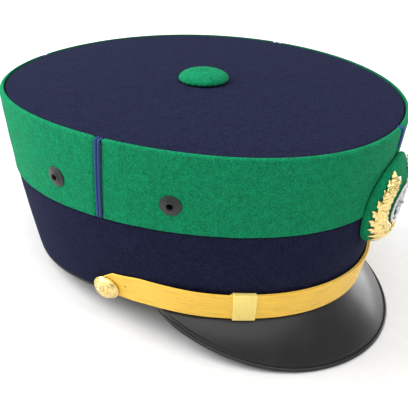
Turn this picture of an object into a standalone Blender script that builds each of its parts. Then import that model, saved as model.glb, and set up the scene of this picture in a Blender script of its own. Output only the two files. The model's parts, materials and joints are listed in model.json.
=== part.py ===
"""A stiff military peaked cap (kepi) at rest: the rear of its rim and the edge of its visor stand on z = 0.

Everything is laid out in the cap's own frame first: its rim at the rear lies in z = 0, the visor points to
-Y and the wearer's left is +X. An empty then tips the whole cap back until the visor's edge and the rear rim
touch the ground. phi runs round the cap: 0 at the wearer's left, 90 degrees at the rear, 180 at the right
and 270 in front.
"""

from math import atan2, cos, pi, radians, sin, tan

import bmesh
import bpy
from mathutils import Matrix, Vector

# Rim, where the head goes in, measured outside the cloth
RIM_HALF_WIDTH = 0.0932
RIM_HALF_LENGTH = 0.1045
RIM_EGG = -0.028  # wider towards the front
RIM_THREE_LOBED = 0.0358  # narrows the temples and rounds the brow
RIM_FRONT_DIP = 0.0125  # the front half of the rim slopes down to the visor

# Crown, at the outline of its flat top
TOP_HALF_WIDTH = 0.1067
TOP_HALF_LENGTH = 0.1243
TOP_SHIFT = -0.0070
TOP_EGG = 0.0655
TOP_THREE_LOBED = -0.0213
TOP_FOUR_LOBED = -0.0072
CROWN_HEIGHT = 0.0978
TOP_SLOPE = 0.0253  # rise per metre towards the rear
TOP_ARCH = 0.271  # fall per metre squared towards the front and the rear
SIDE_BOW = 0.0018
SHOULDER = 0.0037  # radius of the green cloth's turn over the top edge
UPPER_BAND = 0.0470  # green cloth, from the top edge down
SEAM_LEAN = radians(1.2)  # the side seams lean forwards at the top by this much

# How it rests
TILT = radians(10.64)

# Layers, from the outside in, as distances from the cloth's face
GAP = 0.0003
CLOTH = 0.0015
STIFFENER_IN = 0.0018
STIFFENER_BACK = 0.0030
LINING_IN = 0.0034
LINING_BACK = 0.0040
SWEATBAND_IN = 0.0068
SWEATBAND_BACK = 0.0082
SWEATBAND_HEIGHT = 0.036
REED = 0.0024
BINDING_DEPTH = 0.0016
BINDING_INSET = 0.0006

# Crown's inside, as depths below the top and insets from its outline
TOP_SEAM_INSET = 0.0040
BOARD_TOP = 0.0018
BOARD_BACK = 0.0032
HOOP_SIZE = 0.0024
HOOP_INSET = 0.0039
TIP_TOP = 0.0070
TIP_BACK = 0.0076

PIPING_WIDTH = 0.0032
PIPING_PROUD = 0.0012
FRONT_PIPING_LENGTH = 0.0134  # down to the badge pad

# Visor
VISOR_HALF_ANGLE = radians(75.2)
VISOR_REACH = 0.0216
VISOR_FULLNESS = 0.7985
VISOR_FLAT_ANGLE = radians(26.9)  # half of the stretch that stands on the ground
VISOR_SWEEP = 1.885
VISOR_DROP_START = 0.0025
VISOR_BULGE = 0.0015
VISOR_THICKNESS = 0.0013
VISOR_LINING = 0.0007
BEAD_RADIUS = 0.0012
VISOR_SHEET_MARGIN = radians(6.0)
BEAD_MARGIN = radians(2.5)

# Chin strap and its keepers, as heights along the side from the rim
STRAP_LOW = -0.0012
STRAP_HIGH = 0.0173
INNER_STRAP = (0.0011, 0.0018)
OUTER_STRAP = (0.0021, 0.0029)
OUTER_STRAP_DROP = 0.0015  # the outer strap lies this much lower beside its button
KEEPER_PHI = radians(222)
KEEPER_WIDTH = 0.0125
KEEPER_WALL = 0.0006
KEEPER_LEAN = 0.14  # its lower edge stands forward by this share of the height
KEEPER_LAYERS = (0.0003, 0.0008, 0.0032, 0.0039)

SIDE_BUTTON_BACK = radians(0.7)  # behind the side line
SIDE_BUTTON_HEIGHT = 0.0048
SIDE_BUTTON_RADIUS = 0.0078
SHANK_RADIUS = 0.0010
SHANK_HOLE_RADIUS = 0.0016

TOP_BUTTON_RADIUS = 0.0150
TOP_BUTTON_HEIGHT = 0.0062
TOP_BUTTON_SHANK_RADIUS = 0.0015
TOP_BUTTON_HOLE_RADIUS = 0.0020

EYELET_DROP = 0.0304  # below the top edge
EYELET_PHI = (radians(14.4), radians(-18.6))  # from each side line: rear, front
EYELET_FLANGE_RADIUS = 0.0058
EYELET_BARREL_RADIUS = 0.0029
EYELET_BORE_RADIUS = 0.0017

# Badge, centred in front
PAD_LOW = 0.0345
PAD_HIGH = 0.0908
PAD_HALF_WIDTH = 0.0300
PAD_THICKNESS = 0.0084
PAD_SIDE = 0.0012  # its upright edge
PAD_BACK = 0.0006
BADGE_LIFT = 0.0004  # from the pad's face to the badge's back
WREATH_RADIUS = 0.0228
WREATH_HEIGHT = 0.0632
WREATH_HALF_WIDTH = 0.0036
ROSETTE_RADIUS = 0.0138
ROSETTE_HEIGHT = 0.0615
FRONT_RADIUS = 0.117  # turns a distance across the front into phi
POST_X = 0.0225
POST_HEIGHT = 0.0640
POST_RADIUS = 0.0009
POST_HOLE_RADIUS = 0.0014

SEGMENTS = 48
CLOSEST_LEVELS = 0.004
REAR = pi / 2
LEFT = 0.0
RIGHT = pi
FRONT = 1.5 * pi

FINISHES = {
    "navy_wool": ((0.020, 0.023, 0.060), 0.95, 0.0),
    "green_wool": ((0.012, 0.210, 0.090), 0.95, 0.0),
    "blue_piping": ((0.020, 0.055, 0.140), 0.80, 0.0),
    "board": ((0.100, 0.080, 0.060), 0.90, 0.0),
    "lining": ((0.030, 0.030, 0.035), 0.60, 0.0),
    "leather": ((0.030, 0.020, 0.014), 0.55, 0.0),
    "visor": ((0.030, 0.030, 0.033), 0.28, 0.0),
    "gold_lace": ((0.870, 0.540, 0.085), 0.60, 0.0),
    "keeper_lace": ((0.950, 0.720, 0.210), 0.60, 0.0),
    "gilt": ((0.900, 0.640, 0.220), 0.25, 1.0),
    "silver": ((0.700, 0.700, 0.690), 0.25, 1.0),
    "black_metal": ((0.025, 0.027, 0.028), 0.45, 0.6),
    "steel": ((0.400, 0.400, 0.390), 0.40, 1.0),
}


# ---------------------------------------------------------------- the cap's form

def straight_out(phi):
    """Unit vector pointing straight out from the cap's middle at phi."""
    return Vector((cos(phi), sin(phi), 0.0))


def rim(phi, height=0.0, out=0.0):
    """A point on the rim line, raised straight up and moved straight out."""
    swell = 1 + RIM_THREE_LOBED * sin(3 * phi)
    x = RIM_HALF_WIDTH * cos(phi) * (1 + RIM_EGG * sin(phi)) * swell
    y = RIM_HALF_LENGTH * sin(phi) * swell
    z = -RIM_FRONT_DIP * max(0.0, -sin(phi))
    return Vector((x, y, z + height)) + straight_out(phi) * out


def top_level(y):
    return CROWN_HEIGHT + TOP_SLOPE * y - TOP_ARCH * y * y


def top_outline(phi):
    swell = 1 + TOP_THREE_LOBED * sin(3 * phi) + TOP_FOUR_LOBED * cos(4 * phi)
    x = TOP_HALF_WIDTH * cos(phi) * (1 + TOP_EGG * sin(phi)) * swell
    y = TOP_SHIFT + TOP_HALF_LENGTH * sin(phi) * swell
    return Vector((x, y, top_level(y)))


def side_length(phi):
    return (top_outline(phi) - rim(phi)).length


def side(phi, height, out=0.0):
    """A point on the flared side, height measured along it from the rim."""
    share = height / side_length(phi)
    low = rim(phi)
    bow = SIDE_BOW * 4 * share * (1 - share)
    return low + (top_outline(phi) - low) * share + straight_out(phi) * (bow + out)


def under_top(phi, drop, inset):
    """A point near the top edge: drop down the side from it, inset straight in."""
    return side(phi, side_length(phi) - drop, -inset)


def leaned(phi, drop):
    """phi in the green band, with its side seams leaning forwards at the top."""
    return phi - cos(phi) * SEAM_LEAN * (0.5 - drop / UPPER_BAND)


def side_frame(phi, height, out=0.0):
    """A frame on the side: z straight out of the cloth, y up the side."""
    step = 0.001
    across = side(phi + step, height) - side(phi - step, height)
    upward = side(phi, height + step) - side(phi, height - step)
    normal = across.cross(upward).normalized()
    upward = (upward - normal * upward.dot(normal)).normalized()
    across = upward.cross(normal)
    frame = Matrix((across, upward, normal)).transposed().to_4x4()
    frame.translation = side(phi, height) + normal * out
    return frame


def crown_frame(depth=0.0):
    """A frame at the middle of the top: z straight up out of it."""
    frame = Matrix.Rotation(atan2(TOP_SLOPE, 1.0), 4, "X")
    frame.translation = Vector((0.0, TOP_SHIFT, top_level(TOP_SHIFT) - depth))
    return frame


def mirrored(phi):
    """The same place on the wearer's other side."""
    return pi - phi


def phi_at_arc(phi, length):
    """The angle reached by going length round the side from phi."""
    radius = (side(phi + 0.01, 0.0) - side(phi - 0.01, 0.0)).length / 0.02
    return phi + length / radius


def steps(start, end, count):
    return [start + (end - start) * i / count for i in range(count + 1)]


def around(count=SEGMENTS):
    return [2 * pi * i / count for i in range(count)]


# ---------------------------------------------------------------- mesh helpers

def clear_scene():
    for thing in list(bpy.data.objects):
        bpy.data.objects.remove(thing)


def finish_material(name):
    material = bpy.data.materials.get(name)
    if material is None:
        colour, roughness, metallic = FINISHES[name]
        material = bpy.data.materials.new(name)
        material.use_nodes = True
        shader = material.node_tree.nodes["Principled BSDF"]
        shader.inputs["Base Color"].default_value = (*colour, 1.0)
        shader.inputs["Roughness"].default_value = roughness
        shader.inputs["Metallic"].default_value = metallic
        material.diffuse_color = (*colour, 1.0)
    return material


def add_object(name, bm, finish, place=None):
    """Make the object from a bmesh in the cap's frame, with its origin at place."""
    bmesh.ops.remove_doubles(bm, verts=bm.verts, dist=1e-6)
    bmesh.ops.recalc_face_normals(bm, faces=bm.faces)
    mesh = bpy.data.meshes.new(name)
    bm.to_mesh(mesh)
    bm.free()
    if place is not None:
        mesh.transform(place.inverted())
    mesh.shade_smooth()
    mesh.set_sharp_from_angle(angle=radians(35))
    mesh.materials.append(finish_material(finish))
    thing = bpy.data.objects.new(name, mesh)
    bpy.context.collection.objects.link(thing)
    thing.parent = bpy.data.objects["resting_cap"]
    thing.matrix_local = place or Matrix.Identity(4)
    return thing


def outwardness(vertex):
    """Grows up and out, so that nested layers split their faces along the same diagonals."""
    return vertex.co.z + vertex.co.xy.length


def skin(name, stations, finish, ring=True, place=None):
    """Join closed cross-sections in order, round to the first if ring, else with flat ends."""
    bm = bmesh.new()
    rows = [[bm.verts.new(point) for point in station] for station in stations]
    following = rows[1:] + rows[:1] if ring else rows[1:]
    for row, after in zip(rows, following):
        for j, corner in enumerate(row):
            k = (j + 1) % len(row)
            if outwardness(corner) <= outwardness(row[k]):
                bm.faces.new((corner, row[k], after[k]))
                bm.faces.new((corner, after[k], after[j]))
            else:
                bm.faces.new((corner, row[k], after[j]))
                bm.faces.new((row[k], after[k], after[j]))
    if not ring:
        bm.faces.new(rows[0])
        bm.faces.new(rows[-1])
    return add_object(name, bm, finish, place)


def turned(name, frame, profile, finish, count=16):
    """Turn a closed profile of (radius, height) about the frame's z axis."""
    stations = []
    for turn in around(count):
        stations.append([frame @ Vector((r * cos(turn), r * sin(turn), z)) for r, z in profile])
    return skin(name, stations, finish, place=frame)


def plate(name, finish, inset, top, back):
    """A disc that follows the crown's top, between two depths below it."""
    centre = Vector((0.0, TOP_SHIFT, 0.0))

    def point(phi, share, depth):
        edge = under_top(phi, 0.0, inset)
        flat = centre + (Vector((edge.x, edge.y, 0.0)) - centre) * share
        return Vector((flat.x, flat.y, top_level(flat.y) - depth))

    stations = []
    for phi in around():
        upper = [point(phi, share, top) for share in (0.0, 0.5, 1.0)]
        lower = [point(phi, share, back) for share in (1.0, 0.5, 0.0)]
        stations.append(upper + lower)
    return skin(name, stations, finish)


def hollow_band(name, finish, heights, outer, inner):
    """A ring that follows the side: heights is a function of phi."""
    stations = []
    for phi in around():
        levels = heights(phi)
        section = [side(phi, level, -outer) for level in levels]
        section += [side(phi, level, -inner) for level in reversed(levels)]
        stations.append(section)
    return skin(name, stations, finish)


def upright_band(name, finish, low, high, outer, inner):
    """A ring that stands straight up from the rim line."""
    stations = []
    for phi in around():
        section = [rim(phi, low, -outer), rim(phi, high, -outer)]
        section += [rim(phi, high, -inner), rim(phi, low, -inner)]
        stations.append(section)
    return skin(name, stations, finish)


def drill(name, frame, radius, low, high, *things):
    """Cut a round hole along the frame's z axis through each of the things."""
    bm = bmesh.new()
    bmesh.ops.create_cone(
        bm, cap_ends=True, segments=10, radius1=radius, radius2=radius, depth=high - low
    )
    bmesh.ops.translate(bm, verts=bm.verts, vec=(0.0, 0.0, (high + low) / 2))
    bm.transform(frame)
    cutter = add_object(name, bm, "steel", frame)
    cutter.hide_render = True
    cutter.display_type = "WIRE"
    for thing in things:
        cut = thing.modifiers.new(name, "BOOLEAN")
        cut.operation = "DIFFERENCE"
        cut.solver = "EXACT"
        cut.object = cutter


# ---------------------------------------------------------------- crown and sides

def seam_height(phi):
    return side_length(phi) - UPPER_BAND


def side_levels(phi, low, high):
    """Levels shared by every layer of the side, cut to the stretch from low to high."""
    seam = seam_height(phi)
    whole = [0.0, seam / 2, seam, seam + UPPER_BAND / 2, side_length(phi) - SHOULDER]
    closest = CLOSEST_LEVELS
    inside = [level for level in whole if low + closest < level < high - closest]
    return [low] + inside + [high]


def make_lower_band():
    return hollow_band(
        "lower_band", "navy_wool",
        lambda phi: side_levels(phi, 0.0, seam_height(phi) - GAP), 0.0, CLOTH,
    )


def make_upper_panel(name, start, end):
    """A quarter of the green cloth, from its lower fold up and over the top edge."""
    half_piping = (PIPING_WIDTH / 2 + GAP) / TOP_HALF_WIDTH
    stations = []
    turns = steps(start, end, SEGMENTS // 4)
    turns[0] += half_piping
    turns[-1] -= half_piping
    for phi in turns:
        levels = side_levels(phi, seam_height(phi), side_length(phi) - SHOULDER)
        flank = [side_length(phi) - level for level in levels]
        places = [(drop, 0.0) for drop in flank]
        places += [(0.29 * SHOULDER, 0.29 * SHOULDER), (0.0, SHOULDER)]
        places += [(CLOTH, SHOULDER), (SHOULDER * 0.7, SHOULDER * 0.7)]
        places += [(drop, CLOTH) for drop in reversed(flank)]
        stations.append([under_top(leaned(phi, drop), drop, inset) for drop, inset in places])
    return skin(name, stations, "green_wool", ring=False)


def make_piping(name, phi, length):
    """A flat double cord in the seam between two panels, over the top edge and down."""
    half = PIPING_WIDTH / 2 / TOP_HALF_WIDTH
    drops = [(0.0, SHOULDER), (0.29 * SHOULDER, 0.29 * SHOULDER), (SHOULDER, 0.0)]
    drops += [(drop, 0.0) for drop in steps(SHOULDER, length, 2)[1:]]
    stations = []
    for drop, inset in drops:
        lift = Vector((0.0, 0.0, 1.0)) if inset else Vector((0.0, 0.0, 0.0))
        outward = straight_out(phi) * (0.0 if inset == SHOULDER else 1.0)
        rise = (lift + outward).normalized()
        middle = leaned(phi, drop)
        section = []
        for share, proud in ((-1, 0.3), (-0.5, 1.0), (0, 0.5), (0.5, 1.0), (1, 0.3)):
            foot = under_top(middle + share * half, drop, inset)
            section.append(foot + rise * (proud * PIPING_PROUD))
        for share in (1, -1):
            foot = under_top(middle + share * half, drop, inset)
            section.append(foot - rise * CLOTH * 0.9)
        stations.append(section)
    return skin(name, stations, "blue_piping", ring=False)


def make_crown():
    top = plate("crown_top_cloth", "navy_wool", TOP_SEAM_INSET, 0.0, CLOTH)
    board = plate("crown_top_board", "board", TOP_SEAM_INSET, BOARD_TOP, BOARD_BACK)
    tip = plate("crown_lining_tip", "lining", TOP_SEAM_INSET + 0.0012, TIP_TOP, TIP_BACK)
    lower = make_lower_band()
    wall = hollow_band(
        "side_wall_stiffener", "board",
        lambda phi: side_levels(phi, GAP, side_length(phi) - 1.2 * SHOULDER),
        STIFFENER_IN, STIFFENER_BACK,
    )
    lining = hollow_band(
        "crown_lining_side", "lining",
        lambda phi: side_levels(phi, GAP, side_length(phi) - TIP_BACK - 0.0008),
        LINING_IN, LINING_BACK,
    )
    near, far = HOOP_INSET, HOOP_INSET + HOOP_SIZE
    corners = ((near, near), (near, far), (far, far), (far, near))
    sections = [[under_top(phi, *corner) for corner in corners] for phi in around()]
    skin("top_edge_hoop", sections, "steel")
    return top, board, tip, lower, wall, lining


def make_upper_bands():
    panels = {}
    for name, start in (
        ("rear_left", LEFT), ("rear_right", REAR), ("front_right", RIGHT), ("front_left", FRONT),
    ):
        panels[name] = make_upper_panel("upper_band_" + name, start, start + pi / 2)
    for name, phi in (("left", LEFT), ("rear", REAR), ("right", RIGHT)):
        make_piping("piping_" + name, phi, UPPER_BAND)
    make_piping("piping_front", FRONT, FRONT_PIPING_LENGTH)
    return panels


def make_rim():
    upright_band("rim_binding", "leather", -BINDING_DEPTH, -GAP, BINDING_INSET, SWEATBAND_BACK)
    upright_band("sweatband_reed", "leather", GAP, REED, LINING_BACK + GAP, SWEATBAND_IN - GAP)
    upright_band("sweatband", "leather", GAP, SWEATBAND_HEIGHT, SWEATBAND_IN, SWEATBAND_BACK)


def make_eyelets(panels, wall, lining):
    """Two vents on each side, each an eyelet from outside and a washer inside."""
    flange = EYELET_FLANGE_RADIUS
    barrel = EYELET_BARREL_RADIUS
    bore = EYELET_BORE_RADIUS
    rear, front = EYELET_PHI
    places = {
        "rear_left": LEFT + rear, "front_left": LEFT + front,
        "rear_right": RIGHT - rear, "front_right": RIGHT - front,
    }
    eyelet_profile = (
        (bore, -0.0062), (barrel, -0.0062), (barrel, 0.0005), (flange, 0.0005),
        (flange - 0.0004, 0.0012), (bore + 0.0013, 0.0015), (bore, 0.0009),
    )
    washer_profile = (
        (barrel + GAP, -0.0056), (flange, -0.0056), (flange, -0.0048), (barrel + GAP, -0.0048),
    )
    for name, phi in places.items():
        frame = side_frame(phi, side_length(phi) - EYELET_DROP)
        turned("vent_eyelet_" + name, frame, eyelet_profile, "black_metal", 12)
        turned("vent_washer_" + name, frame, washer_profile, "steel", 12)
        drill(
            "vent_hole_" + name, frame, barrel + 0.0006, -0.010, 0.004,
            panels[name], wall, lining,
        )


# ---------------------------------------------------------------- visor

def ground(y):
    """Height of the ground in the cap's frame, where the rear rim stands on it."""
    rear = rim(REAR, -BINDING_DEPTH, -BINDING_INSET)
    return rear.z - tan(TILT) * (rear.y - y)


def rim_outward(phi):
    along = rim(phi + 0.01) - rim(phi - 0.01)
    return Vector((along.y, -along.x, 0.0)).normalized()


def visor_seam(theta):
    """Where the visor's face leaves the rim, theta from the front."""
    return rim(FRONT + theta, -VISOR_DROP_START)


def visor_edge(theta):
    """The middle of the bead round the visor's free edge."""
    phi = FRONT + theta
    grow = max(0.0, 1 - (theta / VISOR_HALF_ANGLE) ** 2)
    point = rim(phi) + rim_outward(phi) * (VISOR_REACH * grow**VISOR_FULLNESS)
    sweep = (abs(theta) - VISOR_FLAT_ANGLE) / (VISOR_HALF_ANGLE - VISOR_FLAT_ANGLE)
    tip = visor_seam(VISOR_HALF_ANGLE)
    bead_middle = BEAD_RADIUS / cos(TILT)
    climb = tip.z - ground(tip.y) - bead_middle
    point.z = ground(point.y) + bead_middle + climb * max(0.0, sweep) ** VISOR_SWEEP
    return point


def visor_point(theta, share, depth=0.0):
    """A point on the visor's face, share of the way out to where the bead begins."""
    start = visor_seam(theta)
    end = visor_edge(theta)
    run = end - start
    reach = max(0.0, run.length - BEAD_RADIUS - GAP)
    along = run.normalized()
    round_it = straight_out(FRONT + theta).cross(Vector((0.0, 0.0, 1.0)))
    upward = round_it.cross(along).normalized()
    if upward.z < 0:
        upward = -upward
    bulge = VISOR_BULGE * 4 * share * (1 - share) * min(1.0, run.length / 0.03)
    return start + along * (reach * share) + upward * (bulge - depth)


def make_visor_sheet(name, finish, top, back, start_share):
    shares = (start_share, 0.34, 0.67, 1.0)
    limit = VISOR_HALF_ANGLE - VISOR_SHEET_MARGIN
    stations = []
    for theta in steps(-limit, limit, 24):
        section = [visor_point(theta, share, top) for share in shares]
        section += [visor_point(theta, share, back) for share in reversed(shares)]
        stations.append(section)
    return skin(name, stations, finish, ring=False)


def make_visor():
    make_visor_sheet("visor_top_shell", "visor", 0.0, VISOR_THICKNESS, 0.0)
    lining_top = VISOR_THICKNESS + GAP
    make_visor_sheet("visor_lining", "leather", lining_top, lining_top + VISOR_LINING, 0.08)
    limit = VISOR_HALF_ANGLE - BEAD_MARGIN
    stations = []
    for theta in steps(-limit, limit, 36):
        along = (visor_edge(theta + 0.02) - visor_edge(theta - 0.02)).normalized()
        upward = Vector((0.0, -sin(TILT), cos(TILT)))
        outward = along.cross(upward).normalized()
        upward = outward.cross(along)
        centre = visor_edge(theta)
        ring = [(BEAD_RADIUS * cos(t), BEAD_RADIUS * sin(t)) for t in around(8)]
        stations.append([centre + outward * a + upward * b for a, b in ring])
    skin("visor_edge_bead", stations, "visor", ring=False)


# ---------------------------------------------------------------- chin strap

def strap_section(phi, layer, tail=1.0):
    low, high = STRAP_LOW, STRAP_HIGH
    middle = (low + high) / 2
    low = middle + (low - middle) * tail
    high = middle + (high - middle) * tail
    return [side(phi, h, out) for h, out in (
        (low, layer[0]), (high, layer[0]), (high, layer[1]), (low, layer[1]),
    )]


def smooth_share(value):
    value = min(1.0, max(0.0, value))
    return value * value * (3 - 2 * value)


def make_straps():
    """Two overlapped halves: each runs from its own button to the other side's keeper."""
    end_overlap = radians(5)
    button_margin = radians(3)
    spacing = radians(3.75)
    outer_end = mirrored(KEEPER_PHI) + 2 * pi + end_overlap
    inner_start = KEEPER_PHI - end_overlap
    outer_turns = [RIGHT - button_margin, RIGHT - radians(1.2)]
    count = int((outer_end - RIGHT) / spacing)
    outer_turns += steps(RIGHT + radians(2.6), outer_end, count)
    stations = []
    for phi in outer_turns:
        rise = smooth_share((phi - RIGHT - radians(10)) / radians(20))
        drop = OUTER_STRAP_DROP * (1 - rise)
        tail = 0.55 + 0.45 * smooth_share((phi - RIGHT + button_margin) / radians(5.6))
        stations.append(strap_section(phi, [out - drop for out in OUTER_STRAP], tail))
    outer = skin("chin_strap_outer", stations, "gold_lace", ring=False)
    stations = []
    inner_turns = steps(inner_start, 2 * pi - radians(2.6), count)
    inner_turns += [2 * pi + radians(1.2), 2 * pi + button_margin]
    for phi in inner_turns:
        rise = smooth_share((2 * pi - radians(10) - phi) / radians(20))
        drop = (INNER_STRAP[0] - (OUTER_STRAP[0] - OUTER_STRAP_DROP)) * (1 - rise)
        tail = 0.55 + 0.45 * smooth_share((2 * pi + button_margin - phi) / radians(5.6))
        stations.append(strap_section(phi, [out - drop for out in INNER_STRAP], tail))
    inner = skin("chin_strap_inner", stations, "gold_lace", ring=False)
    return outer, inner


def strap_turning_frame(phi):
    """A frame whose z axis is the line about which the strap bends at phi."""
    middle = (STRAP_LOW + STRAP_HIGH) / 2
    gap = radians(8)
    before, here, after = (side(p, middle, INNER_STRAP[1]) for p in (phi - gap, phi, phi + gap))
    axis = (here - before).cross(after - here).normalized()
    chord = after - before
    sagitta = (here - (before + after) / 2).length
    radius = (chord.length / 2) ** 2 / (2 * sagitta) + sagitta / 2
    inward = ((before + after) / 2 - here).normalized()
    across = axis.cross(-inward).normalized()
    frame = Matrix((-inward, across, axis)).transposed().to_4x4()
    frame.translation = here + inward * radius
    return frame


def make_keeper(name, phi, forward):
    """A loop of lace round both straps; forward is +1 or -1, the way phi grows towards the front."""
    back, back_inner, front_inner, front = KEEPER_LAYERS
    half = KEEPER_WIDTH / 2
    low = STRAP_LOW - GAP
    high = STRAP_HIGH + GAP
    corners = (
        ((low - KEEPER_WALL, back), (low, back_inner)),
        ((low - KEEPER_WALL, front), (low, front_inner)),
        ((high + KEEPER_WALL, front), (high, front_inner)),
        ((high + KEEPER_WALL, back), (high, back_inner)),
    )
    stations = []
    for outside, inside in corners:
        lean = forward * KEEPER_LEAN * ((low + high) / 2 - inside[0])
        turns = [phi_at_arc(phi, along + lean) for along in (-half, 0.0, half)]
        section = [side(turn, *outside) for turn in turns]
        section += [side(turn, *inside) for turn in reversed(turns)]
        stations.append(section)
    return skin(name, stations, "keeper_lace", place=strap_turning_frame(phi))


def make_side_button(side_name, phi, strap, layers):
    """A domed button that turns on its shank, kept by a ring inside the cap."""
    frame = side_frame(phi, SIDE_BUTTON_HEIGHT)
    r = SIDE_BUTTON_RADIUS
    seat = 0.0018
    shell = [(0.0, seat + 0.0050), (0.0, seat + 0.0042)]
    shell += [(r * 0.45, seat + 0.0038), (r * 0.80, seat + 0.0025), (r - 0.0008, seat + 0.0011)]
    shell += [(r - 0.0008, seat), (r, seat), (r, seat + 0.0012)]
    shell += [(r * 0.82, seat + 0.0034), (r * 0.47, seat + 0.0046)]
    turned(f"side_button_{side_name}_shell", frame, shell, "gilt")
    shank = SHANK_RADIUS
    tail = -0.0062
    back = [(0.0, seat + 0.0008), (0.0, tail), (shank + 0.0008, tail)]
    back += [(shank + 0.0008, tail + 0.0008), (shank, tail + 0.0008), (shank, seat)]
    back += [(r - 0.0013, seat), (r - 0.0013, seat + 0.0008)]
    turned(f"side_button_{side_name}_shank", frame, back, "gilt")
    inner = shank + 0.0002
    rim_ring = inner + 0.0012
    ring = [(inner, -0.0051), (rim_ring, -0.0051), (rim_ring, -0.0044), (inner, -0.0044)]
    turned(f"side_button_{side_name}_ring", frame, ring, "steel", 12)
    drill(f"shank_hole_{side_name}", frame, SHANK_HOLE_RADIUS, -0.0061, 0.006, strap, *layers)


# ---------------------------------------------------------------- top button and badge

def make_top_button(cloth, board, tip):
    frame = crown_frame()
    r = TOP_BUTTON_RADIUS
    high = TOP_BUTTON_HEIGHT
    cover = [(0.0, high), (r * 0.55, high * 0.88), (r * 0.86, high * 0.60), (r, high * 0.28)]
    cover += [(r - 0.0003, 0.0004), (r * 0.72, 0.0004), (r * 0.72, 0.0014), (r - 0.0014, 0.0015)]
    cover += [(r * 0.84, high * 0.42), (r * 0.53, high * 0.68), (0.0, high * 0.79)]
    turned("top_button_cover", frame, cover, "green_wool", 24)
    shank = TOP_BUTTON_SHANK_RADIUS
    mould = [(0.0, high * 0.72), (r * 0.50, high * 0.62), (r * 0.78, high * 0.38)]
    mould += [(r * 0.80, 0.0018), (r * 0.66, 0.0018), (r * 0.66, 0.0006)]
    mould += [(shank + GAP, 0.0006), (shank + GAP, 0.0022), (0.0, 0.0022)]
    turned("top_button_mould", frame, mould, "steel", 16)
    stem = [(0.0, 0.0019), (0.0, -0.0100), (shank + 0.0012, -0.0100)]
    stem += [(shank + 0.0012, -0.0092), (shank, -0.0092), (shank, 0.0019)]
    turned("top_button_shank", frame, stem, "steel", 12)
    inner = shank + GAP
    washer = [(inner, -0.0090), (0.0060, -0.0090), (0.0060, -0.0081), (inner, -0.0081)]
    turned("top_button_washer", frame, washer, "steel", 12)
    drill("top_button_hole", frame, TOP_BUTTON_HOLE_RADIUS, -0.0105, 0.0003, cloth, board, tip)


def front_point(x, height, out):
    """A point of the front, x to the wearer's left, height up the side."""
    return side(FRONT + x / FRONT_RADIUS, height, out)


def pad_half_width(share):
    """Half the pad's width, share of the way up: a rounded shield, a little wider at its head."""
    ends = max(0.0004, 1 - abs(2 * share - 1) ** 2.6)
    return PAD_HALF_WIDTH * ends**0.5 * (0.93 + 0.09 * share)


def pad_face(x, height):
    """How far out the pad's domed face stands at a place on the front."""
    share = (height - PAD_LOW) / (PAD_HIGH - PAD_LOW)
    across = min(1.0, abs(x) / pad_half_width(share))
    foot = min(1.0, 7 * share) ** 0.5
    head = min(1.0, 0.05 + 2.2 * (1 - share)) ** 0.9
    dome = (1 - across**3) ** 0.6 * foot * head
    return PAD_BACK + PAD_SIDE + (PAD_THICKNESS - PAD_SIDE) * dome


def on_pad(x, height, proud):
    """A point over the pad's face."""
    return front_point(x, height, pad_face(x, height) + BADGE_LIFT + proud)


def make_pad():
    stations = []
    across = (-1.0, -0.93, -0.75, -0.45, 0.0, 0.45, 0.75, 0.93, 1.0)
    for turn in steps(radians(12), radians(168), 14):
        share = (1 - cos(turn)) / 2
        half = pad_half_width(share)
        height = PAD_LOW + (PAD_HIGH - PAD_LOW) * share
        section = [front_point(a * half, height, pad_face(a * half, height)) for a in across]
        section += [front_point(a * half, height, PAD_BACK) for a in reversed(across)]
        stations.append(section)
    return skin("badge_pad", stations, "green_wool", ring=False)


def make_wreath():
    """An open ring of scalloped leaves, its gap at the top."""
    stations = []
    half_turn = radians(140)
    for i, turn in enumerate(steps(-1.0, 1.0, 28)):
        out_x = sin(turn * half_turn)
        out_h = -cos(turn * half_turn)
        half = WREATH_HALF_WIDTH + (0.0012 if i % 2 else 0.0)
        half -= 0.0016 * abs(turn) ** 4
        section = []
        for reach, proud in (
            (-1, 0.0), (-0.5, 0.0), (0, 0.0), (0.5, 0.0), (1, 0.0),
            (1, 0.0008), (0.5, 0.0014), (0, 0.0016), (-0.5, 0.0014), (-1, 0.0008),
        ):
            x = (WREATH_RADIUS + reach * half) * out_x
            height = WREATH_HEIGHT + (WREATH_RADIUS + reach * half) * out_h
            section.append(on_pad(x, height, proud))
        stations.append(section)
    skin("badge_wreath", stations, "gilt", ring=False)


def make_rosette():
    """A thin disc with a raised rim, curved to the pad."""
    stations = []
    r = ROSETTE_RADIUS
    profile = [(0.0, 0.0), (r * 0.35, 0.0), (r * 0.7, 0.0), (r, 0.0), (r, 0.0010)]
    profile += [(r * 0.94, 0.0018), (r * 0.86, 0.0016), (r * 0.80, 0.0008), (r * 0.5, 0.0008)]
    profile += [(r * 0.30, 0.0018), (0.0, 0.0024)]
    for turn in around(24):
        x, height = cos(turn), sin(turn)
        stations.append([on_pad(x * d, ROSETTE_HEIGHT + height * d, proud) for d, proud in profile])
    skin("badge_rosette", stations, "silver")


def make_badge(panels, wall, lining):
    pad = make_pad()
    make_wreath()
    make_rosette()
    head = pad_face(POST_X, POST_HEIGHT) - BADGE_LIFT
    tail = -0.0085
    for name, sign in (("right", -1), ("left", 1)):
        frame = side_frame(FRONT + sign * POST_X / FRONT_RADIUS, POST_HEIGHT)
        post = [(0.0, head), (0.0, tail), (POST_RADIUS, tail), (POST_RADIUS, head)]
        turned("badge_post_" + name, frame, post, "steel", 10)
        inner = POST_RADIUS + 0.0002
        nut = [(inner, -0.0066), (0.0034, -0.0066), (0.0034, -0.0050), (inner, -0.0050)]
        turned("badge_nut_" + name, frame, nut, "steel", 12)
        drilled = (pad, panels["front_" + name], wall, lining)
        drill("post_hole_" + name, frame, POST_HOLE_RADIUS, -0.0048, 0.0120, *drilled)


# ---------------------------------------------------------------- the whole cap

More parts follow.
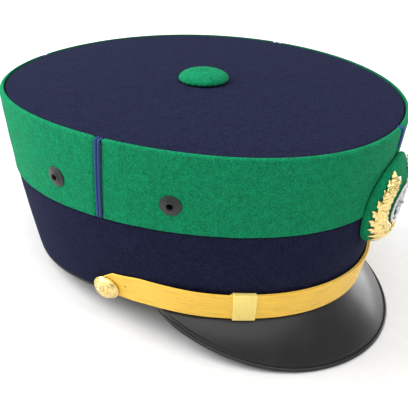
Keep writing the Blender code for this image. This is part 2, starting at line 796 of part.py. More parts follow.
def settle():
    """Tip the cap back on to the ground and centre its box on the origin."""
    stand = bpy.data.objects["resting_cap"]
    stand.rotation_euler = (-TILT, 0.0, 0.0)
    bpy.context.view_layer.update()
    corners = []
    for thing in bpy.data.objects:
        if thing.type == "MESH" and not thing.hide_render:
            corners += [thing.matrix_world @ vertex.co for vertex in thing.data.vertices]
    low_y = min(corner.y for corner in corners)
    high_y = max(corner.y for corner in corners)
    low_z = min(corner.z for corner in corners)
    stand.location = (0.0, -(low_y + high_y) / 2, -low_z)


def main():
    clear_scene()
    stand = bpy.data.objects.new("resting_cap", None)
    bpy.context.collection.objects.link(stand)
    top, board, tip, lower, wall, lining = make_crown()
    panels = make_upper_bands()
    make_rim()
    make_eyelets(panels, wall, lining)
    make_visor()
    outer_strap, inner_strap = make_straps()
    make_keeper("strap_keeper_right", KEEPER_PHI, 1)
    make_keeper("strap_keeper_left", mirrored(KEEPER_PHI) + 2 * pi, -1)
    make_side_button("right", RIGHT - SIDE_BUTTON_BACK, outer_strap, (lower, wall, lining))
    make_side_button("left", LEFT + SIDE_BUTTON_BACK, inner_strap, (lower, wall, lining))
    make_top_button(top, board, tip)
    make_badge(panels, wall, lining)
    settle()


main()
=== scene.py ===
"""The finished look of a stiff military peaked cap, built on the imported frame.

Shapes are worked out in the cap's own frame, with its rear rim level and its visor towards -Y, and stood()
tips them back on to the floor. phi runs round the cap: 0 at the wearer's left, 90 degrees at the rear,
180 at the right and 270 in front. A place on the side is (phi, height up the side, distance out from it).
"""

import json
from math import atan2, cos, pi, radians, sin

import bmesh
import bpy
import numpy as np
from mathutils import Matrix, Vector


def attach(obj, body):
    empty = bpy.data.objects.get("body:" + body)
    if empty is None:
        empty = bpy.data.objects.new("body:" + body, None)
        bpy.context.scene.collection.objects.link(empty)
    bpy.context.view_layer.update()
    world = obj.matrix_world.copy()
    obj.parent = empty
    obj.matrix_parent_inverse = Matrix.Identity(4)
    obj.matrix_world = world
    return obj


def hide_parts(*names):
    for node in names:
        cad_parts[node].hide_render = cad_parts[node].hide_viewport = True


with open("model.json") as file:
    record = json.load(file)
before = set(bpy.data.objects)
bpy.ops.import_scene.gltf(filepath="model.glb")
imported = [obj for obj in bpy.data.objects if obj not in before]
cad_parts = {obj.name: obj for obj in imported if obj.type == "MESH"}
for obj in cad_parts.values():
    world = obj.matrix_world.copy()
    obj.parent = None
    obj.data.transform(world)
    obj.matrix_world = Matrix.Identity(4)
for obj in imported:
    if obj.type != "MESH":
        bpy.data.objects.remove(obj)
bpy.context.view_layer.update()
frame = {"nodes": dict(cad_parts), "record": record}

# ---------------- sizes, as in the CAD source, in metres

RIM_HALF_WIDTH, RIM_HALF_LENGTH = 0.0932, 0.1045
RIM_EGG, RIM_THREE_LOBED, RIM_FRONT_DIP = -0.028, 0.0358, 0.0125
TOP_HALF_WIDTH, TOP_HALF_LENGTH, TOP_SHIFT = 0.1067, 0.1243, -0.0070
TOP_EGG, TOP_THREE_LOBED, TOP_FOUR_LOBED = 0.0655, -0.0213, -0.0072
CROWN_HEIGHT, TOP_SLOPE, TOP_ARCH = 0.0978, 0.0253, 0.271
SIDE_BOW = 0.0018
UPPER_BAND, SEAM_LEAN = 0.0470, radians(1.2)
TILT = radians(10.64)
STAND_AT = (0.0, 0.0009304658, 0.0200655833)

CLOTH = 0.0015
LINING_IN, LINING_BACK = 0.0034, 0.0040
SWEATBAND_IN, SWEATBAND_BACK, SWEATBAND_HEIGHT = 0.0068, 0.0082, 0.036
BINDING_DEPTH, BINDING_INSET = 0.0016, 0.0006
TOP_SEAM_INSET = 0.0040
TIP_TOP, TIP_BACK = 0.0070, 0.0076

VISOR_HALF_ANGLE, VISOR_FLAT_ANGLE = radians(75.2), radians(26.9)
VISOR_REACH, VISOR_FULLNESS, VISOR_SWEEP = 0.0216, 0.7985, 1.885
VISOR_DROP_START, VISOR_BULGE = 0.0025, 0.0015
VISOR_THICKNESS, VISOR_LINING, BEAD_RADIUS = 0.0013, 0.0007, 0.0012

STRAP_LOW, STRAP_HIGH = -0.0012, 0.0173
INNER_STRAP, OUTER_STRAP = (0.0011, 0.0018), (0.0021, 0.0029)
OUTER_STRAP_DROP = 0.0015
KEEPER_PHI, KEEPER_WIDTH, KEEPER_WALL = radians(222), 0.0125, 0.0005
KEEPER_BACK, KEEPER_FRONT, KEEPER_LEAN = 0.0003, 0.0039, 0.14

SIDE_BUTTON_BACK = radians(0.7)
SIDE_BUTTON_HEIGHT, SIDE_BUTTON_RADIUS, SIDE_BUTTON_SEAT = 0.0048, 0.0078, 0.0018
TOP_BUTTON_RADIUS, TOP_BUTTON_HEIGHT = 0.0150, 0.0062
EYELET_DROP, EYELET_RADIUS, EYELET_BARREL, EYELET_BORE = 0.0304, 0.0058, 0.0029, 0.0017
EYELET_PHI = (radians(14.4), radians(-18.6))

PAD_LOW, PAD_HIGH, PAD_HALF_WIDTH = 0.0345, 0.0878, 0.0300
PAD_THICKNESS, PAD_SIDE, PAD_BACK, BADGE_LIFT = 0.0084, 0.0012, 0.0006, 0.0004
WREATH_RADIUS, WREATH_HEIGHT = 0.0222, 0.0632
RING_RADIUS, RING_HEIGHT, FRONT_RADIUS = 0.0128, 0.0602, 0.117
POST_X, POST_HEIGHT = 0.0225, 0.0640

LEFT, REAR, RIGHT, FRONT = 0.0, pi / 2, pi, 1.5 * pi

# mean radii, which turn lengths round the cap into angles
SIDE_RADIUS, STRAP_RADIUS, RIM_RADIUS, EYELET_LINE_RADIUS = 0.1, 0.0945, 0.095, 0.103


# ---------------- the cap's form

def stack(x, y, z):
    return np.stack(np.broadcast_arrays(x, y, z), -1)


def joined(*parts):
    return np.concatenate(parts)


def straight_out(phi):
    return stack(np.cos(phi), np.sin(phi), 0.0)


def rim(phi, height=0.0, out=0.0):
    swell = 1 + RIM_THREE_LOBED * np.sin(3 * phi)
    x = RIM_HALF_WIDTH * np.cos(phi) * (1 + RIM_EGG * np.sin(phi)) * swell
    y = RIM_HALF_LENGTH * np.sin(phi) * swell
    z = -RIM_FRONT_DIP * np.maximum(0.0, -np.sin(phi)) + height
    return stack(x, y, z) + straight_out(phi) * np.asarray(out)[..., None]


def top_level(y):
    return CROWN_HEIGHT + TOP_SLOPE * y - TOP_ARCH * y * y


def top_outline(phi):
    swell = 1 + TOP_THREE_LOBED * np.sin(3 * phi) + TOP_FOUR_LOBED * np.cos(4 * phi)
    x = TOP_HALF_WIDTH * np.cos(phi) * (1 + TOP_EGG * np.sin(phi)) * swell
    y = TOP_SHIFT + TOP_HALF_LENGTH * np.sin(phi) * swell
    return stack(x, y, top_level(y))


def side_length(phi):
    return np.linalg.norm(top_outline(phi) - rim(phi), axis=-1)


def seam_height(phi):
    return side_length(phi) - UPPER_BAND


def side(phi, height, out=0.0):
    phi, height, out = np.broadcast_arrays(phi, height, out)
    share = height / side_length(phi)
    low = rim(phi)
    bow = SIDE_BOW * 4 * share * (1 - share)
    return low + (top_outline(phi) - low) * share[..., None] + straight_out(phi) * (bow + out)[..., None]


def on_side(phi, pairs):
    """Places on the side from (height, out) pairs."""
    height, out = np.array(pairs).T
    return side(phi, height, out)


def leaned(phi, height):
    """phi in the green band, its side seams leaning forwards at the top."""
    return phi - np.cos(phi) * SEAM_LEAN * ((height - side_length(phi)) / UPPER_BAND + 0.5)


def side_frame(phi, height, out=0.0):
    """z straight out of the cloth, y up the side."""
    step = 0.001
    across = Vector(side(phi + step, height) - side(phi - step, height))
    upward = Vector(side(phi, height + step) - side(phi, height - step))
    normal = across.cross(upward).normalized()
    upward = (upward - normal * upward.dot(normal)).normalized()
    made = Matrix((upward.cross(normal), upward, normal)).transposed().to_4x4()
    made.translation = Vector(side(phi, height)) + normal * out
    return made


def crown_frame():
    made = Matrix.Rotation(atan2(TOP_SLOPE, 1.0), 4, "X")
    made.translation = Vector((0.0, TOP_SHIFT, top_level(TOP_SHIFT)))
    return made


def arc_radius(phi):
    step = 0.01
    return np.linalg.norm(side(phi + step, 0.0) - side(phi - step, 0.0)) / (2 * step)


def front_point(x, height, out):
    return side(FRONT + np.asarray(x) / FRONT_RADIUS, height, out)


def shoulder(phi):
    """Radius of the green cloth's turn over the top edge, widest behind and tightest at the sides."""
    return 0.0013 + 0.0024 * max(0.0, sin(phi)) ** 2 + 0.0010 * max(0.0, -sin(phi)) ** 2


def unit(vector):
    return vector / np.linalg.norm(vector)


def mirrored(phi):
    return pi - phi


def smooth(value):
    value = np.clip(value, 0.0, 1.0)
    return value * value * (3 - 2 * value)


def bump(place, middle, spread, height):
    return height * np.exp(-(((place - middle) / spread) ** 2))


def ripple(a, b, size):
    """A soft unevenness with no visible repeat."""
    waves = np.sin(7 * a + 31 * b + 1.0) + np.sin(13 * a - 57 * b + 2.3) + np.sin(29 * a + 83 * b + 0.4)
    return size * waves / 3


def arc(start, end, count):
    return np.radians(np.linspace(start, end, count))


def circle(count):
    return np.linspace(0, 2 * pi, count, endpoint=False)


def bow(first, second, radius, angles, squash=1.0):
    """Pairs on an arc round (first, second), its angles turning from the second direction to the first."""
    return np.stack([first + radius * np.sin(angles), second + radius * squash * np.cos(angles)], -1)


# ---------------- meshes

STAND = Matrix.Translation(STAND_AT) @ Matrix.Rotation(-TILT, 4, "X")


def moved(points, matrix):
    spin = np.array(matrix.to_3x3())
    return np.asarray(points) @ spin.T + np.array(matrix.translation)


def stood(points):
    return moved(points, STAND)


def volume(corners):
    """Six times the volume under faces, from the corners of each; below 0 if they face inwards."""
    first = corners[:, :1]
    crosses = np.cross(corners[:, 1:-1] - first, corners[:, 2:] - first).sum(1)
    return (crosses * first[:, 0]).sum()


def loft_faces(rows, cols, ring):
    i = np.arange(rows if ring else rows - 1)[:, None]
    j = np.arange(cols)[None, :]
    following, across = (i + 1) % rows, (j + 1) % cols
    corners = (i * cols + j, i * cols + across, following * cols + across, following * cols + j)
    quads = np.stack(np.broadcast_arrays(*corners), -1).reshape(-1, 4)
    if ring:
        return quads, []
    return quads, [np.arange(cols)[::-1], np.arange(cols) + (rows - 1) * cols]


def thread_lines(sections, ring):
    """Lengths along and round a loft, which carry its weave."""
    step = np.linalg.norm(np.diff(sections, axis=0), axis=-1).mean(1)
    along = joined([0.0], np.cumsum(step))
    if ring:
        closing = np.linalg.norm(sections[0] - sections[-1], axis=-1).mean()
        along = np.append(along, along[-1] + closing)
    middle = sections[len(sections) // 2]
    gaps = np.linalg.norm(np.roll(middle, -1, axis=0) - middle, axis=-1)
    return along, joined([0.0], np.cumsum(gaps))


def loft_mesh(name, lofts):
    """One mesh of several lofts, each (closed cross-sections in the cap's frame, True if they join up)."""
    all_points, all_faces, all_threads, start = [], [], [], 0
    for sections, ring in lofts:
        sections = np.asarray(sections, float)
        rows, cols = sections.shape[:2]
        points = stood(sections.reshape(-1, 3))
        quads, caps = loft_faces(rows, cols, ring)
        along, across = thread_lines(sections, ring)
        i, j = np.divmod(np.arange(len(quads)), cols)
        corners = ((0, 0), (0, 1), (1, 1), (1, 0))
        threads = np.stack([np.stack([along[i + a], across[j + b]], -1) for a, b in corners], 1)
        centred = points - points.mean(0)
        if sum(volume(centred[faces]) for faces in (quads, *[cap[None] for cap in caps])) < 0:
            quads, threads, caps = quads[:, ::-1], threads[:, ::-1], [cap[::-1] for cap in caps]
        all_faces += (quads + start).tolist() + [(cap + start).tolist() for cap in caps]
        all_threads.append(threads.reshape(-1, 2))
        all_threads += [np.zeros((len(cap), 2)) for cap in caps]
        all_points.append(points)
        start += len(points)
    mesh = bpy.data.meshes.new(name)
    mesh.from_pydata(np.concatenate(all_points).tolist(), [], all_faces)
    mesh.uv_layers.new(name="thread")
    mesh.uv_layers["thread"].data.foreach_set("uv", np.concatenate(all_threads).ravel())
    mesh.shade_smooth()
    return mesh


def added(name, data):
    """A new object in the scene."""
    made = bpy.data.objects.new(name, data)
    bpy.context.collection.objects.link(made)
    return made


def piece(name, lofts, finish, *stands_for, body="cap", sharp=None, slot=None):
    """A finished object from its lofts, in place of the CAD nodes it stands for."""
    mesh = loft_mesh(name, lofts)
    if sharp:
        mesh.set_sharp_from_angle(angle=radians(sharp))
    mesh.materials.append(FINISHES[finish])
    thing = added(name, mesh)
    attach(thing, body)
    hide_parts(*stands_for)
    return thing


def weld(thing, gap=1e-7):
    """Join points that fall together, as at the middle of a turned shape."""
    bm = bmesh.new()
    bm.from_mesh(thing.data)
    bmesh.ops.remove_doubles(bm, verts=bm.verts, dist=gap)
    bmesh.ops.dissolve_degenerate(bm, dist=gap, edges=bm.edges)
    bm.to_mesh(thing.data)
    bm.free()
    return thing


def turned_loft(place, profile, count):
    """Turn a closed profile of (radius, height), which may be a function of the turn, about place's z.

    place is a frame, or a function from across, up and out to a place in the cap's frame.
    """
    sections = []
    for turn in circle(count):
        radius, height = np.transpose(profile(turn) if callable(profile) else profile)
        ring = radius * cos(turn), radius * sin(turn), height
        sections.append(place(*ring) if callable(place) else moved(stack(*ring), place))
    return np.array(sections), True


def cut_holes(thing, holes):
    """Round holes through a cloth, each (a frame whose z it follows, its radius)."""
    drills = [
        turned_loft(place, [(0, -0.012), (radius, -0.012), (radius, 0.006), (0, 0.006)], 32)
        for place, radius in holes
    ]
    tool = weld(added("hole_tool", loft_mesh("hole_tool", drills)))
    cut = thing.modifiers.new("holes", "BOOLEAN")
    cut.operation, cut.solver, cut.object = "DIFFERENCE", "EXACT", tool
    bpy.context.view_layer.update()
    whole = bpy.data.meshes.new_from_object(thing.evaluated_get(bpy.context.evaluated_depsgraph_get()))
    thing.modifiers.clear()
    thing.data = whole
    bpy.data.objects.remove(tool)


# ---------------- finishes

class Recipe:
    """One material's nodes, on top of a Principled shader."""

    def __init__(self, name, roughness, metallic=0.0, **fixed):
        self.made = bpy.data.materials.new(name)
        self.made.use_nodes = True
        self.tree = self.made.node_tree
        self.shader = self.tree.nodes["Principled BSDF"]
        fixed.update(Roughness=roughness, Metallic=metallic)
        self.feed(self.shader, {socket.replace("_", " "): value for socket, value in fixed.items()})

    def feed(self, node, inputs):
        """Link outputs to a node's inputs and set plain values on them."""
        for socket, value in inputs.items():
            if isinstance(value, bpy.types.NodeSocket):
                self.tree.links.new(value, node.inputs[socket])
            else:
                node.inputs[socket].default_value = value
        return node

    def put(self, kind, inputs, **settings):
        made = self.tree.nodes.new("ShaderNode" + kind)
        for key, value in settings.items():
            setattr(made, key, value)
        return self.feed(made, inputs)

    def where(self, stretch=(1.0, 1.0, 1.0), source="Object"):
        coordinates = self.put("TexCoord", {}).outputs[source]
        return self.put("Mapping", {"Vector": coordinates, "Scale": stretch}).outputs["Vector"]

    def noise(self, scale, detail=2.0, rough=0.5, distortion=0.0, **place):
        inputs = {"Vector": self.where(**place), "Scale": scale, "Detail": detail,
                  "Roughness": rough, "Distortion": distortion}
        return self.put("TexNoise", inputs).outputs["Fac"]

    def cells(self, scale, feature="F1"):
        inputs = {"Vector": self.where(), "Scale": scale}
        return self.put("TexVoronoi", inputs, feature=feature).outputs["Distance"]

    def threads(self, pitch, direction, distortion=0.0, source="UV"):
        """Parallel threads, one each pitch along the direction."""
        inputs = {"Vector": self.where(source=source), "Scale": pi / 10 / pitch, "Distortion": distortion,
                  "Detail": 1.0, "Detail Scale": 2.0}
        return self.put("TexWave", inputs, bands_direction=direction).outputs["Fac"]

    def math(self, operation, a, b):
        return self.put("Math", {0: a, 1: b}, operation=operation).outputs[0]

    def sum(self, *parts):
        """Add (output, share) pairs."""
        total = None
        for output, share in parts:
            scaled = self.math("MULTIPLY", output, share)
            total = scaled if total is None else self.math("ADD", total, scaled)
        return total

    def paint(self, share, *stops):
        """Colour by share, from stops of (place, colour)."""
        ramp = self.put("ValToRGB", {"Fac": share})
        marks = ramp.color_ramp.elements
        while len(marks) < len(stops):
            marks.new(0.5)
        for mark, (place, colour) in zip(marks, stops):
            mark.position = place
            mark.color = (*colour, 1.0)
        return ramp.outputs["Color"]

    def shaded(self, share, colour, spread, low, high):
        """Paint from darker to lighter neighbours of a colour, with the colour itself halfway."""
        stops = zip((low, 0.50, high), (1 - spread, 1.0, 1 + spread))
        return self.paint(share, *[(place, [part * factor for part in colour]) for place, factor in stops])

    def mixed(self, share, painted, colour):
        """Mix a plain colour into what is painted."""
        return self.put("Mix", {0: share, 6: painted, 7: (*colour, 1.0)}, data_type="RGBA").outputs[2]

    def span(self, share, low, high):
        inputs = {"Value": share, "From Min": 0.3, "From Max": 0.7, "To Min": low, "To Max": high}
        return self.put("MapRange", inputs).outputs["Result"]

    def finish(self, colour, roughness=None, bumps=()):
        """Feed the shader; bumps are (height, distance) pairs, each on the one before."""
        varied = {} if roughness is None else {"Roughness": roughness}
        normal = {}
        for height, distance in bumps:
            inputs = {"Height": height, "Distance": distance, "Strength": 1.0, **normal}
            normal = {"Normal": self.put("Bump", inputs).outputs["Normal"]}
        self.feed(self.shader, {"Base Color": colour, **varied, **normal})
        return self.made


def felt(name, colour, spread, sheen, tint):
    r = Recipe(name, 0.95, Specular_IOR_Level=0.05,
               Sheen_Weight=sheen, Sheen_Roughness=0.5, Sheen_Tint=(*tint, 1.0))
    clumps = r.noise(1450, 3.0, 0.65, 0.8)
    nap = r.noise(3600, 2.0, 0.6)
    clouds = r.noise(280, 2.0)
    tone = r.sum((clumps, 0.72), (nap, 0.12), (clouds, 0.16))
    colours = r.shaded(tone, colour, spread, 0.40, 0.60)
    return r.finish(colours, r.span(clouds, 0.88, 0.99), [(clumps, 0.00016), (nap, 0.00006)])


def piping_cord():
    r = Recipe("piping_cord", 0.7, Sheen_Weight=0.08, Sheen_Roughness=0.4, Specular_IOR_Level=0.2)
    plies = r.threads(0.00045, "DIAGONAL", 0.3)
    fuzz = r.noise(2600, 3.0, 0.6)
    tone = r.sum((plies, 0.55), (fuzz, 0.45))
    blues = (0.20, (0.009, 0.026, 0.100)), (0.55, (0.018, 0.052, 0.190)), (0.85, (0.040, 0.092, 0.290))
    colours = r.paint(tone, *blues)
    return r.finish(colours, r.span(fuzz, 0.55, 0.85), [(plies, 0.00010), (fuzz, 0.00008)])


def lace(name, colour, spread, across_pitch):
    r = Recipe(name, 0.5, Sheen_Weight=0.25, Sheen_Roughness=0.35, Specular_IOR_Level=0.45)
    weft = r.threads(across_pitch, "X", 0.15)
    warp = r.threads(0.00028, "Y", 0.2)
    drift = r.noise(900, 3.0, 0.6, stretch=(0.09, 1.0, 1.0), source="UV")
    wear = r.noise(30, 3.0, 0.55)
    tone = r.sum((weft, 0.22), (warp, 0.20), (drift, 0.46), (wear, 0.12))
    colours = r.shaded(tone, colour, spread, 0.25, 0.75)
    return r.finish(colours, r.span(tone, 0.42, 0.62), [(weft, 0.00006), (warp, 0.00004), (drift, 0.00005)])


def lacquer():
    r = Recipe("visor_lacquer", 0.36, Coat_Weight=0.10, Coat_Roughness=0.20, Specular_IOR_Level=0.40)
    grain = r.cells(900)
    smears = r.noise(38, 4.0, 0.6, 0.6)
    dust = r.noise(1500, 2.0, 0.7)
    colours = r.paint(smears, (0.35, (0.0060, 0.0060, 0.0070)), (0.65, (0.0100, 0.0100, 0.0112)))
    specks = r.span(dust, 0.0, 0.06)
    colours = r.mixed(specks, colours, (0.045, 0.045, 0.047))
    return r.finish(colours, r.span(smears, 0.31, 0.41), [(grain, 0.000012), (smears, 0.00006)])


def leather(name, colour, spread):
    r = Recipe(name, 0.55, Specular_IOR_Level=0.4, Coat_Weight=0.08, Coat_Roughness=0.4)
    pores = r.cells(520, feature="DISTANCE_TO_EDGE")
    creases = r.noise(90, 4.0, 0.6, 0.8)
    rub = r.noise(18, 3.0)
    tone = r.sum((pores, 0.9), (creases, 0.35), (rub, 0.35))
    colours = r.shaded(tone, colour, spread, 0.25, 0.80)
    return r.finish(colours, r.span(rub, 0.42, 0.68), [(pores, 0.00020), (creases, 0.00020)])


def satin():
    r = Recipe("lining", 0.4, Sheen_Weight=0.2, Sheen_Roughness=0.3, Anisotropic=0.5)
    weave = r.threads(0.0004, "DIAGONAL", 0.1, source="Object")
    folds = r.noise(60, 3.0, 0.5, 0.5)
    tone = r.sum((weave, 0.3), (folds, 0.7))
    colours = r.paint(tone, (0.3, (0.018, 0.019, 0.026)), (0.7, (0.040, 0.042, 0.056)))
    return r.finish(colours, r.span(folds, 0.30, 0.48), [(weave, 0.00005), (folds, 0.00020)])


def buckram():
    r = Recipe("board", 0.9)
    over = r.threads(0.0011, "X", 0.1, source="Object")
    under = r.threads(0.0011, "Z", 0.1, source="Object")
    mottle = r.noise(70, 3.0)
    weave = r.math("MULTIPLY", over, under)
    tone = r.sum((weave, 0.5), (mottle, 0.5))
    colours = r.paint(tone, (0.2, (0.060, 0.045, 0.032)), (0.8, (0.150, 0.120, 0.090)))
    return r.finish(colours, r.span(mottle, 0.82, 0.96), [(weave, 0.00020)])


def metal(name, colour, roughness, spread, worn):
    low, high = roughness
    r = Recipe(name, low, 1.0, Coat_Weight=0.15, Coat_Roughness=0.1)
    scratches = r.noise(400, 4.0, 0.7, 0.4, stretch=(1.0, 0.2, 1.0))
    tarnish = r.noise(150, 3.0, 0.6)
    tone = r.sum((scratches, 0.35), (tarnish, 0.65))
    colours = r.shaded(tone, colour, spread, 0.30, 0.70)
    if worn:
        colours = r.mixed(r.span(tarnish, 0.25, 0.0), colours, worn)
    return r.finish(colours, r.span(tone, low, high), [(scratches, 0.00002)])


def enamel():
    r = Recipe("black_metal", 0.38, 0.0, Specular_IOR_Level=0.32, Coat_Weight=0.05, Coat_Roughness=0.25)
    chips = r.noise(1300, 3.0, 0.7)
    film = r.noise(260, 2.0)
    colours = r.paint(film, (0.3, (0.006, 0.009, 0.009)), (0.7, (0.012, 0.015, 0.015)))
    colours = r.mixed(r.span(chips, 0.0, 0.10), colours, (0.08, 0.08, 0.08))
    return r.finish(colours, r.span(film, 0.28, 0.45), [(chips, 0.00002)])


def make_finishes():
    return {
        "navy_wool": felt("navy_felt", (0.0098, 0.0115, 0.0310), 0.55, 0.02, (0.40, 0.50, 1.00)),
        "green_wool": felt("green_felt", (0.0055, 0.1860, 0.0780), 0.40, 0.04, (0.30, 1.00, 0.60)),
        "blue_piping": piping_cord(),
        "board": buckram(),
        "lining": satin(),
        "leather": leather("leather", (0.030, 0.021, 0.015), 0.4),
        "visor_lacquer": lacquer(),
        "gold_lace": lace("gold_lace", (0.985, 0.600, 0.066), 0.36, 0.00045),
        "keeper_lace": lace("keeper_lace", (1.000, 0.785, 0.212), 0.16, 0.00060),
        "gilt": metal("gilt", (0.95, 0.74, 0.30), (0.20, 0.34), 0.12, (0.50, 0.32, 0.07)),
        "silver": metal("silver", (0.66, 0.67, 0.68), (0.34, 0.48), 0.10, (0.34, 0.34, 0.36)),
        "black_metal": enamel(),
        "steel": metal("steel", (0.46, 0.46, 0.45), (0.28, 0.42), 0.12, None),
    }


FINISHES = make_finishes()


# ---------------- crown

SIDE_BUTTONS = (RIGHT - SIDE_BUTTON_BACK, LEFT + SIDE_BUTTON_BACK)
EYELETS = {
    "rear_left": LEFT + EYELET_PHI[0], "front_left": LEFT + EYELET_PHI[1],
    "rear_right": RIGHT - EYELET_PHI[0], "front_right": RIGHT - EYELET_PHI[1],
}


def crown_top():
    """Felt disc, its edge rolled down into the seam."""
    roll = 0.0011
    centre = np.array([0.0, TOP_SHIFT])

    def section(phi):
        edge = side(phi, side_length(phi), -shoulder(phi) - 0.0007)[:2]
        reach = np.linalg.norm(edge - centre)
        shares = joined(np.linspace(0, 0.9, 46), np.linspace(0.91, 1 - 1.3 * roll / reach, 12))
        plan = [centre + (edge - centre) * share for share in shares]
        from_button = reach * shares
        x, y = np.transpose(plan)
        depth = 0.00025 * (1 - smooth((from_button - 0.013) / 0.020)) - ripple(x * 30, y * 9, 0.00012)
        depth = depth + 0.0002 * smooth((shares - 0.93) / 0.07)
        for turn in arc(20, 90, 5):
            plan.append(edge + (edge - centre) / reach * (roll * sin(turn) - roll))
            depth = np.append(depth, 0.0002 + roll * (1 - cos(turn)))
        for share in (1.0, 0.97, 0.6, 0.0):
            plan.append(centre + (edge - centre) * share)
            depth = np.append(depth, CLOTH)
        plan = np.array(plan)
        return stack(plan[:, 0], plan[:, 1], top_level(plan[:, 1]) - depth)

    sections = [section(phi) for phi in circle(300)]
    top = weld(piece("crown_top_felt", [(sections, True)], "navy_wool", "crown_top_cloth"))


def eyelet_frame(phi):
    return side_frame(phi, side_length(phi) - EYELET_DROP)


def eyelet_hole(phi):
    return eyelet_frame(phi), EYELET_BARREL + 0.0004


def eyelet_press(phi, height):
    """How far the eyelets' flanges press the cloth in."""
    press = 0.0
    for at in EYELETS.values():
        away = np.hypot((phi - at) * EYELET_LINE_RADIUS, height - side_length(at) + EYELET_DROP)
        press = press + 0.00045 * (1 - smooth((away - 0.0050) / 0.0035))
    return press


def green_section(phi, from_end):
    """Across a green panel: its lower fold, the flank, the turn over the top edge and the seam."""
    low, high, bent = seam_height(phi), side_length(phi), shoulder(phi)
    tuck = 0.0009 * (1 - smooth(from_end / 0.0018))
    proud = 0.00025 - tuck
    outer, inner = proud + 0.00035, -0.00075
    bend, middle = (outer - inner) / 2, (outer + inner) / 2
    wander = ripple(phi * 3, 0.0, 0.00012)
    points = list(bow(low + wander + bend, middle, bend, arc(180, 360, 10)))
    flank = np.linspace(low + bend + 0.0012, high - bent - 0.001, 30)
    swell = proud + bump(flank, low, 0.0045, 0.00035) + ripple(phi * 2, flank * 6, 0.00010)
    points += list(zip(flank, swell - eyelet_press(phi, flank)))
    turn = bent + proud
    points += list(bow(high - bent, -bent, turn, arc(0, 90, 12)))
    lip = 0.0004
    points += list(bow(high + proud - lip, -bent, lip, arc(65, 0, 4)))
    points += [(high - 0.0013, -bent - lip * 0.9)]
    back = bent - 0.0012
    points += list(bow(high - bent, -bent, back, arc(88, 0, 6)))
    points += [(h, -0.0012) for h in np.linspace(high - bent - 0.004, low + 0.006, 6)]
    points += [(low + 0.003, inner)]
    points = np.array(points)
    return side(leaned(phi, points[:, 0]), points[:, 0], points[:, 1])


def green_panels():
    half_gap = 0.00145 / TOP_HALF_WIDTH
    ends = np.array([0, 0.0002, 0.0005, 0.0009, 0.0014, 0.002, 0.003]) / TOP_HALF_WIDTH
    starts = (("rear_left", LEFT), ("rear_right", REAR), ("front_right", RIGHT), ("front_left", FRONT))
    for name, start in starts:
        first, last = start + half_gap, start + pi / 2 - half_gap
        turns = joined(first + ends, np.linspace(first, last, 132)[3:-3], (last - ends)[::-1])
        sections = [green_section(phi, min(phi - first, last - phi) * TOP_HALF_WIDTH) for phi in turns]
        panel = piece("upper_felt_" + name, [(sections, False)], "green_wool", "upper_band_" + name)
        cut_holes(panel, [eyelet_hole(EYELETS[name])])


CORD_TAPER = 0.004  # length over which a cord's end is drawn in


def twisted(path, radius, turns_per_metre, phase):
    """A two-ply cord along a path of points with their outward directions, its ends drawn in."""
    path = [(Vector(point), Vector(outward)) for point, outward in path]
    lengths = joined([0.0], np.cumsum([(b[0] - a[0]).length for a, b in zip(path, path[1:])]))
    sections = []
    for i, (point, outward) in enumerate(path):
        along = (path[min(i + 1, len(path) - 1)][0] - path[max(i - 1, 0)][0]).normalized()
        outward = (outward - along * outward.dot(along)).normalized()
        sideways = along.cross(outward)
        spin = phase + 2 * pi * turns_per_metre * lengths[i]
        left = min(lengths[i], lengths[-1] - lengths[i])
        size = radius * (0.75 + 0.25 * smooth(left / CORD_TAPER))
        ring = []
        for turn in circle(16):
            lobe = size * (0.86 + 0.14 * abs(cos(turn - spin)) ** 0.8)
            ring.append(point + sideways * (lobe * cos(turn)) + outward * (lobe * sin(turn)))
        sections.append(ring)
    return sections, False


def piping(name, phi, length, tucked):
    """Two cords side by side, from the top seam over the shoulder and down."""
    high = side_length(phi)
    low = high - length
    bulk = 0.00032
    bent = shoulder(phi)
    turn = bent + bulk
    places = [(high - 0.0010, -bent - 0.0005), (high - 0.0003, -bent - 0.0004)]
    over = arc(88, 0, 16)
    sunk = turn - 0.0013 * np.sin(over)
    places += list(zip(high - bent + sunk * np.sin(over), turn * np.cos(over) - bent))
    places += [(h, bulk) for h in np.linspace(high - bent, low + 0.0012, int(length / 0.0003))[1:]]
    if tucked:
        ends = ((0.0008, 0.0001), (0.0005, 0.0004), (0.0004, 0.0008))
        places += [(low + up, bulk - under) for up, under in ends]
    lofts = []
    for side_sign, phase in ((-1, 0.0), (1, 1.3)):
        offset = side_sign * 0.00078 / TOP_HALF_WIDTH
        path = []
        for i, (height, out) in enumerate(places):
            before, after = places[max(i - 1, 0)], places[min(i + 1, len(places) - 1)]
            middle = leaned(phi, height)
            run = Vector(side(middle, after[0], after[1]) - side(middle, before[0], before[1])).normalized()
            outward = Vector(side(middle + 0.01, height, out) - side(middle - 0.01, height, out)).cross(run)
            if outward.dot(Vector(straight_out(phi)) + Vector((0, 0, 1))) < 0:
                outward = -outward
            path.append((side(middle + offset, height, out), outward.normalized()))
        lofts.append(twisted(path, 0.00084, side_sign * 260, phase))
    return piece("piping_cord_" + name, lofts, "blue_piping", "piping_" + name)


